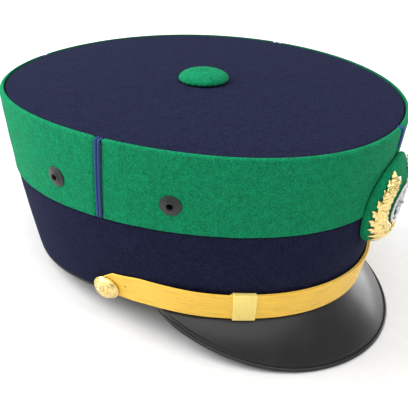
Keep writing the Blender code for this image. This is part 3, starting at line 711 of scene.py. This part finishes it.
def lower_band():
    """Navy felt that passes up behind the green fold, with its seam at the rear."""
    round_cap = 2 * pi * SIDE_RADIUS
    away = joined(np.linspace(-0.008, 0.008, 33), np.linspace(0.012, round_cap - 0.012, 330))
    sections = []
    for phi in REAR + away / SIDE_RADIUS:
        top = seam_height(phi)
        from_seam = abs(phi - REAR) * SIDE_RADIUS
        groove = bump(from_seam, 0.0, 0.00045, 0.00050) - bump(from_seam, 0.0016, 0.0012, 0.00012)
        heights = np.linspace(0.0010, top - 0.0016, 22)
        face = -0.0002 - groove + ripple(phi * 3 + 1, heights * 5, 0.00010)
        points = [(0.0, -0.0012), (0.0002, -0.0006), (0.0005, -0.0003)] + list(zip(heights, face))
        points += [(top - 0.0009, -0.00035 - groove), (top - 0.0003, -0.0008), (top + 0.0004, -0.0010)]
        points += [(top + 0.0022, -0.00105), (top + 0.0024, -0.0014), (top - 0.004, -CLOTH), (0.012, -CLOTH)]
        sections.append(on_side(phi, points))
    band = piece("lower_band_felt", [(sections, True)], "navy_wool", "lower_band")
    cut_holes(band, [(side_frame(phi, SIDE_BUTTON_HEIGHT), 0.0016) for phi in SIDE_BUTTONS])


def lining():
    """Gathered side lining and a flat tip, inside the crown."""
    sections = []
    for phi in circle(480):
        top = side_length(phi) - TIP_BACK - 0.0008
        gather = 0.5 + 0.5 * sin(40 * phi + 1.2 * sin(7 * phi))
        heights = np.linspace(0.0006, top, 22)
        spread = smooth((heights - 0.030) / 0.05)
        face = -LINING_BACK + 0.0001 - 0.00065 * gather * spread
        levels = joined(heights, heights[::-1])
        sections.append(side(phi, levels, joined(np.full(len(heights), -LINING_IN), face[::-1])))
    wall = piece("crown_lining_gathered", [(sections, True)], "lining", "crown_lining_side")
    holes = [eyelet_hole(at) for at in EYELETS.values()]
    holes += [(side_frame(FRONT + sign * POST_X / FRONT_RADIUS, POST_HEIGHT), 0.0014) for sign in (-1, 1)]
    holes += [(side_frame(phi, SIDE_BUTTON_HEIGHT), 0.0014) for phi in SIDE_BUTTONS]
    cut_holes(wall, holes)
    centre = np.array([0.0, TOP_SHIFT])
    sections = []
    for phi in circle(240):
        edge = side(phi, side_length(phi), -TOP_SEAM_INSET - 0.0014)[:2]
        out, back = np.linspace(0, 1, 24), np.linspace(1, 0, 24)
        shares = joined(out, back)
        pucker = 0.00045 * (0.5 + 0.5 * sin(60 * phi)) * smooth((back - 0.75) / 0.25)
        depth = joined(np.full(len(out), TIP_TOP), TIP_BACK + pucker)
        plan = centre + (edge - centre) * shares[:, None]
        sections.append(stack(plan[:, 0], plan[:, 1], top_level(plan[:, 1]) - depth))
    tip = weld(piece("crown_lining_disc", [(sections, True)], "lining", "crown_lining_tip"))


def eyelets():
    outer, bore = EYELET_RADIUS, EYELET_BORE
    shape = [(bore, -0.0062), (EYELET_BARREL, -0.0062), (EYELET_BARREL, -0.0002), (outer - 0.0006, -0.0003)]
    shape += list(bow(outer - 0.0003, 0.0001, 0.0003, arc(160, 0, 6)))
    shape += [(outer - 0.0007, 0.00048), (0.0046, 0.00068), (0.0039, 0.00092), (0.0033, 0.00120)]
    shape += list(bow((bore + EYELET_BARREL) / 2, 0.00110, 0.00062, arc(65, -90, 9), 0.00055 / 0.00062))
    shape += [(bore, 0.0006), (bore, -0.002)]
    washer = [(EYELET_BARREL + 0.0002, -0.0054), (EYELET_BARREL + 0.0005, -0.0057), (outer - 0.0006, -0.0056)]
    washer += [(outer, -0.0052), (outer - 0.0004, -0.0048), (EYELET_BARREL + 0.0002, -0.0048)]
    for name, phi in EYELETS.items():
        place = eyelet_frame(phi)
        flange, ring = [turned_loft(place, shape, 64)], [turned_loft(place, washer, 48)]
        piece("eyelet_" + name, flange, "black_metal", "vent_eyelet_" + name, sharp=50)
        piece("eyelet_washer_" + name, ring, "steel", "vent_washer_" + name, sharp=50)


# ---------------- rim

def upright(shape, count=360):
    """A ring of (height, distance out) that stands straight up from the rim line."""
    shape = np.asarray(shape)
    return [rim(phi, shape[:, 0], shape[:, 1]) for phi in circle(count)], True


def rim_and_sweatband():
    low, high, outer, inner = -BINDING_DEPTH, -0.0003, -BINDING_INSET, -SWEATBAND_BACK
    bend = 0.00055
    binding = list(bow(low + bend, outer - bend, bend, arc(0, -90, 6)))
    binding += [(low, outer - 0.003), (low, inner + 0.003)]
    binding += list(bow(low + bend, inner + bend, bend, arc(-90, -180, 6)))
    binding += [(high, inner + 0.0002), (high, outer - 0.0002)]
    piece("rim_binding_leather", [upright(binding)], "leather", "rim_binding")
    outer, inner, top = -SWEATBAND_IN, -SWEATBAND_BACK, SWEATBAND_HEIGHT
    thick, middle = (outer - inner) / 2, (outer + inner) / 2
    band = [(0.0003, outer), (0.010, outer), (0.024, outer), (top - thick, outer)]
    band += list(bow(top - thick, middle, thick, arc(20, 160, 6)))
    band += [(top - 0.0035, inner), (top - 0.0040, inner + 0.00018), (top - 0.0045, inner), (0.024, inner)]
    band += [(0.012, inner), (0.0046, inner), (0.0038, inner + 0.00025), (0.0030, inner), (0.0003, inner)]
    piece("sweatband_leather", [upright(band)], "leather", "sweatband")
    reed = bow(0.00136, -0.0054, 0.00105, circle(14), 0.95)
    piece("sweatband_reed_cord", [upright(reed, 300)], "leather", "sweatband_reed")
    stitches, half_stitch = [], 0.0011 / RIM_RADIUS
    for turn in circle(188):
        rows = []
        for share in (-1.0, -0.8, -0.3, 0.3, 0.8, 1.0):
            size = 0.00026 * (1.05 - abs(share) ** 3)
            sunk = 0.00022 * share ** 2 - 0.00002
            ring = bow(0.0038, sunk - SWEATBAND_BACK, size, circle(6))
            rows.append(rim(turn + share * half_stitch, ring[:, 0], ring[:, 1]))
        stitches.append((rows, False))
    piece("sweatband_stitching", stitches, "gold_lace", slot="leather")


# ---------------- visor

def ground(y):
    rear = rim(REAR, -BINDING_DEPTH, -BINDING_INSET)
    return rear[2] - np.tan(TILT) * (rear[1] - y)


def rim_outward(phi):
    along = rim(phi + 0.01) - rim(phi - 0.01)
    return unit(np.array([along[1], -along[0], 0.0]))


def visor_seam(theta):
    return rim(FRONT + theta, -VISOR_DROP_START)


def visor_edge(theta):
    phi = FRONT + theta
    grow = max(0.0, 1 - (theta / VISOR_HALF_ANGLE) ** 2)
    point = rim(phi) + rim_outward(phi) * (VISOR_REACH * grow ** VISOR_FULLNESS)
    sweep = (abs(theta) - VISOR_FLAT_ANGLE) / (VISOR_HALF_ANGLE - VISOR_FLAT_ANGLE)
    tip = visor_seam(VISOR_HALF_ANGLE)
    bead_middle = BEAD_RADIUS / cos(TILT)
    climb = tip[2] - ground(tip[1]) - bead_middle
    point[2] = ground(point[1]) + bead_middle + climb * max(0.0, sweep) ** VISOR_SWEEP
    return point


def visor_section(theta, shares, depths, stop=BEAD_RADIUS + 0.0001):
    """Across the visor: shares of the way out and depths under its face."""
    start, end = visor_seam(theta), visor_edge(theta)
    run = end - start
    length = np.linalg.norm(run)
    reach = max(0.0, length - stop)
    along = run / length
    upward = unit(np.cross(np.cross(straight_out(FRONT + theta), (0.0, 0.0, 1.0)), along))
    upward = upward * (1 if upward[2] > 0 else -1)
    shares, depths = np.asarray(shares), np.asarray(depths)
    bulge = VISOR_BULGE * 4 * shares * (1 - shares) * min(1.0, length / 0.03)
    return start + along * (reach * shares)[:, None] + upward * (bulge - depths)[:, None], reach


def visor():
    """Moulded peak with a pressed line inside its rolled edge."""
    close = np.array([0.0, 0.0004, 0.0008, 0.0012, 0.0017, 0.0023, 0.0030, 0.0040, 0.0055])
    limit = VISOR_HALF_ANGLE - radians(2.0)
    sections = []
    for theta in np.linspace(-limit, limit, 200):
        reach = visor_section(theta, [0.5], [0.0])[1]
        fade = smooth(reach / 0.006)
        inward = close[close < reach * 0.6]
        line = 1 - inward[::-1] / max(reach, 1e-5)
        shares = joined(np.linspace(-0.02, line[0] - 0.02, 26), line)
        from_edge = (1 - shares) * reach
        pressed = bump(from_edge, 0.0010, 0.00040, 0.00016) - bump(from_edge, 0.0022, 0.00060, 0.00008)
        top, _ = visor_section(theta, shares, pressed * fade)
        top = joined(np.repeat(top[:1], len(close) - len(line), axis=0), top)
        thickness = np.full(12, VISOR_THICKNESS * max(0.4, fade))
        under, _ = visor_section(theta, np.linspace(1.0, -0.02, 12), thickness)
        sections.append(joined(top, under))
    shell = piece("visor_shell", [(sections, False)], "visor_lacquer", "visor_top_shell", sharp=60)
    weld(shell, 1e-6)
    limit = VISOR_HALF_ANGLE - radians(0.8)
    sections = []
    for theta in np.linspace(-limit, limit, 240):
        centre = visor_edge(theta)
        along = unit(visor_edge(theta + 0.02) - visor_edge(theta - 0.02))
        outward = unit(np.cross(along, (0.0, -sin(TILT), cos(TILT))))
        upward = np.cross(outward, along)
        size = BEAD_RADIUS * (0.35 + 0.65 * smooth((limit - abs(theta)) / radians(7)))
        sections.append([centre + outward * (size * cos(a)) + upward * (size * sin(a)) for a in circle(24)])
    piece("visor_edge_roll", [(sections, False)], "visor_lacquer", "visor_edge_bead")
    limit = VISOR_HALF_ANGLE - radians(6.5)
    shares = np.linspace(0.06, 0.97, 12)
    low = np.full(12, VISOR_THICKNESS + 0.0003)
    deep = low + VISOR_LINING * np.minimum(1, np.arange(12) * 0.5 + 0.3)
    sections = []
    for theta in np.linspace(-limit, limit, 120):
        face, _ = visor_section(theta, shares, low)
        back, _ = visor_section(theta, shares[::-1], deep)
        sections.append(joined(face, back))
    piece("visor_underside", [(sections, False)], "leather", "visor_lining")


# ---------------- chin strap

def ribbed(width, count, depth):
    """Places across a ribbed band and how far each stands out."""
    across = np.linspace(0.0, 1.0, count * 6 + 1)
    rib = depth * np.abs(np.sin(pi * count * across)) ** 0.7
    edge = np.minimum(across, 1 - across) * width
    selvedge = bump(edge, 0.0006, 0.0004, 0.00010)
    return across, rib + selvedge - 0.00035 * (1 - smooth(edge / 0.0005))


STRAP_CORNER = 0.0026  # where the slanting end begins, in front of the button's middle


def strap_edges(from_button):
    """Lower and upper edge of the strap, from_button metres along it from its button's middle."""
    low = STRAP_LOW + 0.0006 * (1 - smooth(from_button / 0.012))
    high = STRAP_HIGH - 0.0022 * (1 - smooth((from_button - 0.002) / 0.016))
    if from_button < STRAP_CORNER:
        high = high - (STRAP_CORNER - from_button) * 0.80
        low = low + max(0.0, -from_button) * 0.80
    return low, high


def strap_half(phi_start, toward, phi_end, layer, settle):
    """One half of the strap, from its button at phi_start round the front to phi_end."""
    across, rib = ribbed(STRAP_HIGH - STRAP_LOW, 17, 0.00016)
    total = abs(phi_end - phi_start)
    near = np.array([-0.0052, -0.004, -0.0026, -0.001, 0.0004, 0.0016, 0.0025, 0.0027, 0.004, 0.006])
    turns = joined(near / STRAP_RADIUS, np.linspace(0.085, total, 230))
    sections = []
    for turn in turns:
        phi = phi_start + toward * turn
        from_button = turn * STRAP_RADIUS
        low, high = strap_edges(from_button)
        shift = settle * (1 - smooth((turn - radians(10)) / radians(20)))
        left = (total - turn) * SIDE_RADIUS
        thin = 0.00025 * (1 - smooth(left / 0.0012))
        heights = low + (high - low) * across
        face = layer[1] - shift + rib - thin + ripple(phi * 9, across * 0.4, 0.00003)
        heights = np.append(heights, [high, low + (high - low) * 0.5, low])
        sections.append(side(phi, heights, np.append(face, [layer[0] - shift] * 3)))
    return sections, False


def chin_strap():
    overlap = radians(5)
    outer = strap_half(RIGHT, 1, mirrored(KEEPER_PHI) + 2 * pi + overlap, OUTER_STRAP, OUTER_STRAP_DROP)
    piece("chin_strap_lace_outer", [outer], "gold_lace", "chin_strap_outer", sharp=60)
    settle = INNER_STRAP[0] - OUTER_STRAP[0] + OUTER_STRAP_DROP
    inner = strap_half(2 * pi, -1, KEEPER_PHI - overlap, INNER_STRAP, settle)
    piece("chin_strap_lace_inner", [inner], "gold_lace", "chin_strap_inner", sharp=60)
    slits = []
    out = OUTER_STRAP[1] - OUTER_STRAP_DROP + 0.00012
    for phi, toward in ((RIGHT, 1), (2 * pi, -1)):
        rows = []
        for share in np.linspace(-1, 1, 7):
            size = 0.00032 * (1.02 - abs(share) ** 2.5)
            at = phi + toward * (0.0090 + 0.0009 * share) / STRAP_RADIUS
            rows.append(on_side(at, bow(0.0085 - 0.0007 * share, out, size, circle(10), 0.5)))
        slits.append((rows, False))
    piece("chin_strap_slits", slits, "leather", slot="gold_lace")


def keeper(name, phi, forward):
    """A woven loop round both straps, ribbed along its run; forward is the sign of phi towards the front."""
    across, rib = ribbed(KEEPER_WIDTH, 14, 0.00013)
    low, high = STRAP_LOW - 0.0009, STRAP_HIGH + 0.0009
    back, front, bend = KEEPER_BACK, KEEPER_FRONT, 0.0008
    corners = ((high, front, 0), (high, back, 90), (low, back, 180), (low, front, 270))
    loop = []
    for height, out, start in corners:
        up, outer = (1 if height == high else -1), (1 if out == front else -1)
        for a in arc(start, start + 90, 5):
            normal = (sin(a), cos(a))
            loop.append((height - up * bend, out - outer * bend, bend, normal))
        if start in (90, 270):
            steps = np.linspace(0, 1, 18)[1:-1]
            first, last = (high - bend, low + bend) if start == 90 else (low + bend, high - bend)
            loop += [(first + (last - first) * s, out - outer * bend, bend, (0.0, outer)) for s in steps]
    radius, middle = arc_radius(phi), (low + high) / 2
    sections = []
    for height, out, reach, (up, outward) in loop:
        turns = phi + ((across - 0.5) * KEEPER_WIDTH + forward * KEEPER_LEAN * (middle - height)) / radius
        outer = side(turns, height + up * (reach + rib), out + outward * (reach + rib))
        short = turns[::-6]
        thin = reach - KEEPER_WALL
        inner = side(short, height + up * thin, out + outward * thin)
        sections.append(joined(outer, inner))
    body = "strap_keeper_" + name
    piece("keeper_loop_" + name, [(sections, True)], "keeper_lace", body, body=body, sharp=70)


# ---------------- buttons

def side_button(name, phi):
    """Domed shell with a rope border and a plain eight-leaf rosette."""
    r, seat = SIDE_BUTTON_RADIUS, SIDE_BUTTON_SEAT
    shares = joined(np.linspace(0, 0.60, 26), np.linspace(0.62, 0.90, 18))

    def profile(turn):
        dome = 0.0013 + 0.0036 * (1 - shares ** 3.4)
        leaf = abs(cos(4 * turn))
        petals = 0.00050 * smooth((0.60 * (0.45 + 0.55 * leaf) - shares) / 0.07)
        petals = petals * (0.55 + 0.45 * smooth(shares / 0.35))
        vein = bump(leaf, 1, 0.035, 0.00018) * (shares > 0.12) * (shares < 0.52)
        eye = 0.00050 * smooth((0.13 - shares) / 0.05)
        ring = bump(shares, 0.66, 0.016, 0.00026)
        twist = 0.55 + 0.45 * np.sin(30 * turn + 66 * (shares - 0.78))
        rope = bump(shares, 0.78, 0.045, 0.00042) * twist
        face = seat + dome + petals - vein + eye + ring + rope - 0.0003
        points = list(zip(shares * r, face))
        edge = 0.00055
        points += list(bow(r - edge, seat + 0.0012, edge, arc(-20, 150, 9), 1.1))
        points += [(r - 0.0008, seat), (r - 0.0008, seat + 0.0009), (r * 0.78, seat + 0.0021)]
        points += [(r * 0.45, seat + 0.0032), (0.0, seat + 0.0036)]
        return points

    place = side_frame(phi, SIDE_BUTTON_HEIGHT)
    body = "side_button_" + name
    dome = [turned_loft(place, profile, 160)]
    weld(piece("button_dome_" + name, dome, "gilt", body + "_shell", body=body, sharp=60))


def top_button():
    """Felt drawn over a mould and gathered underneath."""
    r, high = TOP_BUTTON_RADIUS, TOP_BUTTON_HEIGHT
    shares = joined(np.linspace(0, 0.8, 22), np.linspace(0.83, 0.985, 10))

    def profile(turn):
        dome = (high - 0.0014) * (1 - shares ** 2.8) ** 0.55 + 0.0014
        face = dome + ripple(2 * turn, shares * 0.12, 0.00008)
        gather = 0.00016 * sin(26 * turn + 0.8 * sin(5 * turn))
        points = list(zip(shares * r, face))
        points += [(r + 0.2 * gather, 0.0017), (r - 0.0001 + gather, 0.0011), (r - 0.0006 + gather, 0.0005)]
        points += [(r - 0.0016 + gather, 0.0001), (r * 0.72, 0.0001), (r * 0.72, 0.0013)]
        points += [(r * 0.84, high * 0.40), (r * 0.53, high * 0.66), (0.0, high * 0.77)]
        return points

    cover = [turned_loft(crown_frame(), profile, 180)]
    weld(piece("top_button_felt", cover, "green_wool", "top_button_cover"))


# ---------------- badge

def pad_half_width(share):
    ends = np.maximum(0.0004, 1 - np.abs(2 * share - 1) ** 2.6)
    return PAD_HALF_WIDTH * np.sqrt(ends) * (0.93 + 0.09 * share)


def pad_face(x, height):
    """How far out the pad's domed face stands."""
    share = np.clip((height - PAD_LOW) / (PAD_HIGH - PAD_LOW), 0.0, 1.0)
    across = np.minimum(1.0, np.abs(x) / pad_half_width(share))
    foot = np.minimum(1.0, 7 * share) ** 0.5
    head = np.minimum(1.0, 0.05 + 3.4 * (1 - share)) ** 0.70
    dome = (1 - across ** 3) ** 0.6 * foot * head
    return PAD_BACK + PAD_SIDE + (PAD_THICKNESS - PAD_SIDE) * dome


def on_pad(x, height, proud):
    return front_point(x, height, pad_face(x, height) + BADGE_LIFT + proud)


def pad_outline(count=220):
    share = (1 - np.cos(np.linspace(radians(4), radians(176), 160))) / 2
    half, height = pad_half_width(share), PAD_LOW + (PAD_HIGH - PAD_LOW) * share
    whole = joined(stack(half, height, 0.0), stack(-half, height, 0.0)[::-1])[:, :2]
    whole = joined(whole, whole[:1])
    lengths = joined([0.0], np.cumsum(np.linalg.norm(np.diff(whole, axis=0), axis=1)))
    places = np.linspace(0, lengths[-1], count, endpoint=False)
    outline = np.stack([np.interp(places, lengths, part) for part in whole.T], -1)
    for _ in range(6):
        outline = (np.roll(outline, 1, axis=0) + outline * 2 + np.roll(outline, -1, axis=0)) / 4
    return outline


def badge_pad():
    """Felt-covered cushion: domed face and a side wall down to the cap."""
    outline, centre = pad_outline(), np.array([0.0, 0.0630])
    shares = joined(np.linspace(0, 0.8, 22), np.linspace(0.83, 0.99, 12))
    sections = []
    for i, edge in enumerate(outline):
        plan = centre + (edge - centre) * shares[:, None]
        outs = pad_face(plan[:, 0], plan[:, 1]) + ripple(i * 0.2, shares * 0.1, 0.00006)
        outward = (edge - centre) / np.linalg.norm(edge - centre)
        for out, inset in ((0.0013, 0.0), (0.0009, 0.0001), (PAD_BACK, 0.0005)):
            plan = np.vstack([plan, edge - outward * inset])
            outs = np.append(outs, out)
        plan = np.vstack([plan, centre + (edge - centre) * 0.5, centre])
        outs = np.append(outs, [PAD_BACK, PAD_BACK])
        sections.append(front_point(plan[:, 0], plan[:, 1], outs))
    pad = weld(piece("badge_pad_felt", [(sections, True)], "green_wool", "badge_pad"), 1e-6)


def leaf(x, height, angle, length, width, lift):
    """One lobed leaf on the badge, its root at (x, height), pointing angle degrees from straight up."""
    turn = radians(angle)
    rows = []
    for u in np.linspace(0.0, 1.0, 22):
        taper = sin(pi * min(1.0, u ** 0.85 * 0.97 + 0.03)) ** 0.75
        half = max(0.00012, width / 2 * taper * (1 + 0.17 * cos(6 * pi * u)))
        v = np.linspace(-1, 1, 13)
        rise = 0.0009 * (1 - np.abs(v) ** 2.2) * (0.45 + 0.55 * sin(pi * u))
        rise = rise - bump(v, 0.0, 0.13, 0.00040) * sin(pi * u)
        rise = rise + 0.00020 * np.cos(2 * pi * (4 * u + 0.6 * np.abs(v))) * (np.abs(v) > 0.1) * sin(pi * u)
        arch = 0.0007 * sin(pi * u) + lift
        across = joined(v * half, [0.85 * half, 0.0, -0.85 * half])
        proud = joined(rise, [-0.0002, -0.0002, -0.0002]) + arch
        along = length * u
        px = x + along * sin(turn) + across * cos(turn)
        ph = height + along * cos(turn) - across * sin(turn)
        rows.append(on_pad(px, ph, proud))
    return rows, False


def bead(x, height, radius, lift):
    """A small round berry."""
    rows = []
    for a in arc(8, 172, 9):
        ring = bow(0.0, 0.0, radius * sin(a), pi / 2 - circle(14))
        rows.append(on_pad(x + ring[:, 0], height + ring[:, 1], lift + radius * cos(a)))
    return rows, False


def rod(path, radius):
    """A thin round stem through (x, height, lift) points."""
    path = np.array(path)
    rows = []
    for i, (x, height, lift) in enumerate(path):
        step = path[min(i + 1, len(path) - 1)] - path[max(i - 1, 0)]
        across = np.array([-step[1], step[0]]) / max(1e-9, np.hypot(step[0], step[1]))
        a, b = bow(0.0, 0.0, radius, pi / 2 - circle(12)).T
        rows.append(on_pad(x + across[0] * a, height + across[1] * a, lift + b))
    return rows, False


def wreath():
    """Two plain leafy sprays tied at the foot, round the ring."""
    lofts = []
    for sign in (-1, 1):
        turns = arc(8, 123, 10)
        for i, turn in enumerate(turns):
            x, height = sign * WREATH_RADIUS * sin(turn), WREATH_HEIGHT - WREATH_RADIUS * cos(turn)
            stem = np.degrees(pi / 2 - turn)
            climb = i / (len(turns) - 1)
            size = 0.0120 - 0.0020 * climb
            outer, inner = (34 - 26 * climb ** 2, 0.90, 0.0001), (-36, 1.08, 0.0001)
            for lean, share, lift in (outer, inner, (8 if i % 2 else -4, 0.95, 0.0007)):
                lofts.append(leaf(x, height, sign * (stem + lean), size * share, size * share * 0.46, lift))
            lofts.append(bead(x + sign * 0.0016, height + 0.0010, 0.00080, 0.0010))
        path = [(sign * WREATH_RADIUS * sin(t), WREATH_HEIGHT - WREATH_RADIUS * cos(t), 0.0003)
                for t in arc(-10, 126, 24)]
        lofts.append(rod(path, 0.0006))
    low = WREATH_HEIGHT - WREATH_RADIUS
    for sign in (-1, 1):
        knot = ((0.0004, 0.0, 0.0012), (0.0030, 0.0018, 0.0018), (0.0050, 0.0006, 0.0016),
                (0.0034, -0.0012, 0.0014), (0.0004, -0.0002, 0.0012))
        lofts.append(rod([(sign * x, low + climb, lift) for x, climb, lift in knot], 0.0006))
    lofts.append(bead(0.0, low, 0.0015, 0.0008))
    piece("badge_wreath_gilt", lofts, "gilt", "badge_wreath", sharp=70)


def rosette():
    """A roped silver ring round a plain eight-pointed star."""
    def round_ring(x, up, proud):
        return on_pad(x, RING_HEIGHT + up, proud)

    def ring(turn):
        tube = 0.00080 + 0.00012 * sin(44 * turn)
        return bow(RING_RADIUS - 0.0011, 0.0010, tube, pi / 2 - circle(14))

    def star(turn):
        point = abs(((turn / (2 * pi) * 8) % 1.0) - 0.5) * 2
        long_ray = 1.0 if int(turn / (2 * pi) * 8 + 0.5) % 2 == 0 else 0.78
        reach = 0.0020 + (0.0066 * long_ray - 0.0020) * point ** 1.6
        shares = np.linspace(0, 1, 12)
        face = 0.0006 + 0.0018 * (1 - shares) * (0.55 + 0.45 * point)
        face = face + 0.0006 * smooth((0.22 - shares) / 0.10)
        return list(zip(shares * reach, face)) + [(reach * 0.98, 0.0), (0.0, 0.0)]

    inner_ring = bow(0.0091, 0.0006, 0.0005, pi / 2 - circle(10))
    shapes = (ring, 352), (inner_ring, 160), (star, 192)
    lofts = [turned_loft(round_ring, shape, count) for shape, count in shapes]
    weld(piece("badge_ring_silver", lofts, "silver", "badge_rosette", sharp=40))


# ---------------- room

def room():
    """Plain white floor, soft light from above and both sides."""
    floor_mesh = bpy.data.meshes.new("floor")
    edge = 8.0
    corners = [(-edge, -edge, 0), (edge, -edge, 0), (edge, edge, 0), (-edge, edge, 0)]
    floor_mesh.from_pydata(corners, [], [(0, 1, 2, 3)])
    paper = Recipe("floor_paper", 0.9, Specular_IOR_Level=0.1)
    tooth = paper.noise(140, 3.0)
    whites = paper.paint(tooth, (0.3, (0.75, 0.75, 0.75)), (0.7, (0.78, 0.78, 0.78)))
    floor_mesh.materials.append(paper.finish(whites))
    added("floor", floor_mesh)
    world = bpy.data.worlds.new("studio")
    world.use_nodes = True
    world.node_tree.nodes["Background"].inputs["Color"].default_value = (1.0, 1.0, 1.0, 1.0)
    world.node_tree.nodes["Background"].inputs["Strength"].default_value = 0.45
    bpy.context.scene.world = world
    sun = bpy.data.lights.new("overhead", "SUN")
    sun.energy, sun.angle = 3.0, radians(95)
    lamp(sun, (-0.20, 0.10, 1.0))
    for name, place, size, power in (
        ("softbox_rear_right", (-0.45, 1.00, 0.65), 0.8, 15.0),
        ("softbox_front", (1.15, -0.60, 0.22), 0.6, 6.0),
    ):
        light = bpy.data.lights.new(name, "AREA")
        light.energy, light.shape, light.size, light.size_y = power, "RECTANGLE", size, size
        lamp(light, place)


def lamp(light, place):
    """Hang a light at place, aimed at the cap's middle."""
    aim = Vector((0.0, 0.0, 0.06)) - Vector(place)
    aimed = aim.to_track_quat("-Z", "Y").to_matrix().to_4x4()
    added(light.name, light).matrix_world = Matrix.Translation(place) @ aimed


def camera():
    lens = bpy.data.cameras.new("camera")
    lens.lens, lens.sensor_width, lens.shift_x = 61.15, 36.0, -0.0147
    lens.clip_start = 0.01
    right = Vector((0.48305, -0.86058, 0.16146))
    up = Vector((0.39912, 0.38054, 0.83420))
    ahead = Vector((0.77934, 0.33851, -0.52730))
    stand = added("camera", lens)
    turned = Matrix((right, up, -ahead)).transposed().to_4x4()
    stand.matrix_world = Matrix.Translation((-0.35037, -0.15946, 0.27437)) @ turned
    bpy.context.scene.camera = stand


def carried_over():
    """Finishes for the CAD nodes that show as they are."""
    slots = {row["node"]: row["material_slot"] for row in frame["record"]["subparts"]}
    for name, node in frame["nodes"].items():
        if node.hide_render:
            continue
        node.data.materials.clear()
        node.data.materials.append(FINISHES[slots[name]])


def main():
    camera()
    room()
    crown_top()
    green_panels()
    for name, phi in (("left", LEFT), ("rear", REAR), ("right", RIGHT)):
        piping(name, phi, UPPER_BAND, True)
    piping("front", FRONT, 0.0134, False)
    lower_band()
    lining()
    eyelets()
    rim_and_sweatband()
    visor()
    chin_strap()
    keeper("right", KEEPER_PHI, 1)
    keeper("left", mirrored(KEEPER_PHI) + 2 * pi, -1)
    side_button("right", SIDE_BUTTONS[0])
    side_button("left", SIDE_BUTTONS[1])
    top_button()
    badge_pad()
    wreath()
    rosette()
    carried_over()


main()
bpy.context.scene.view_settings.view_transform = "Standard"
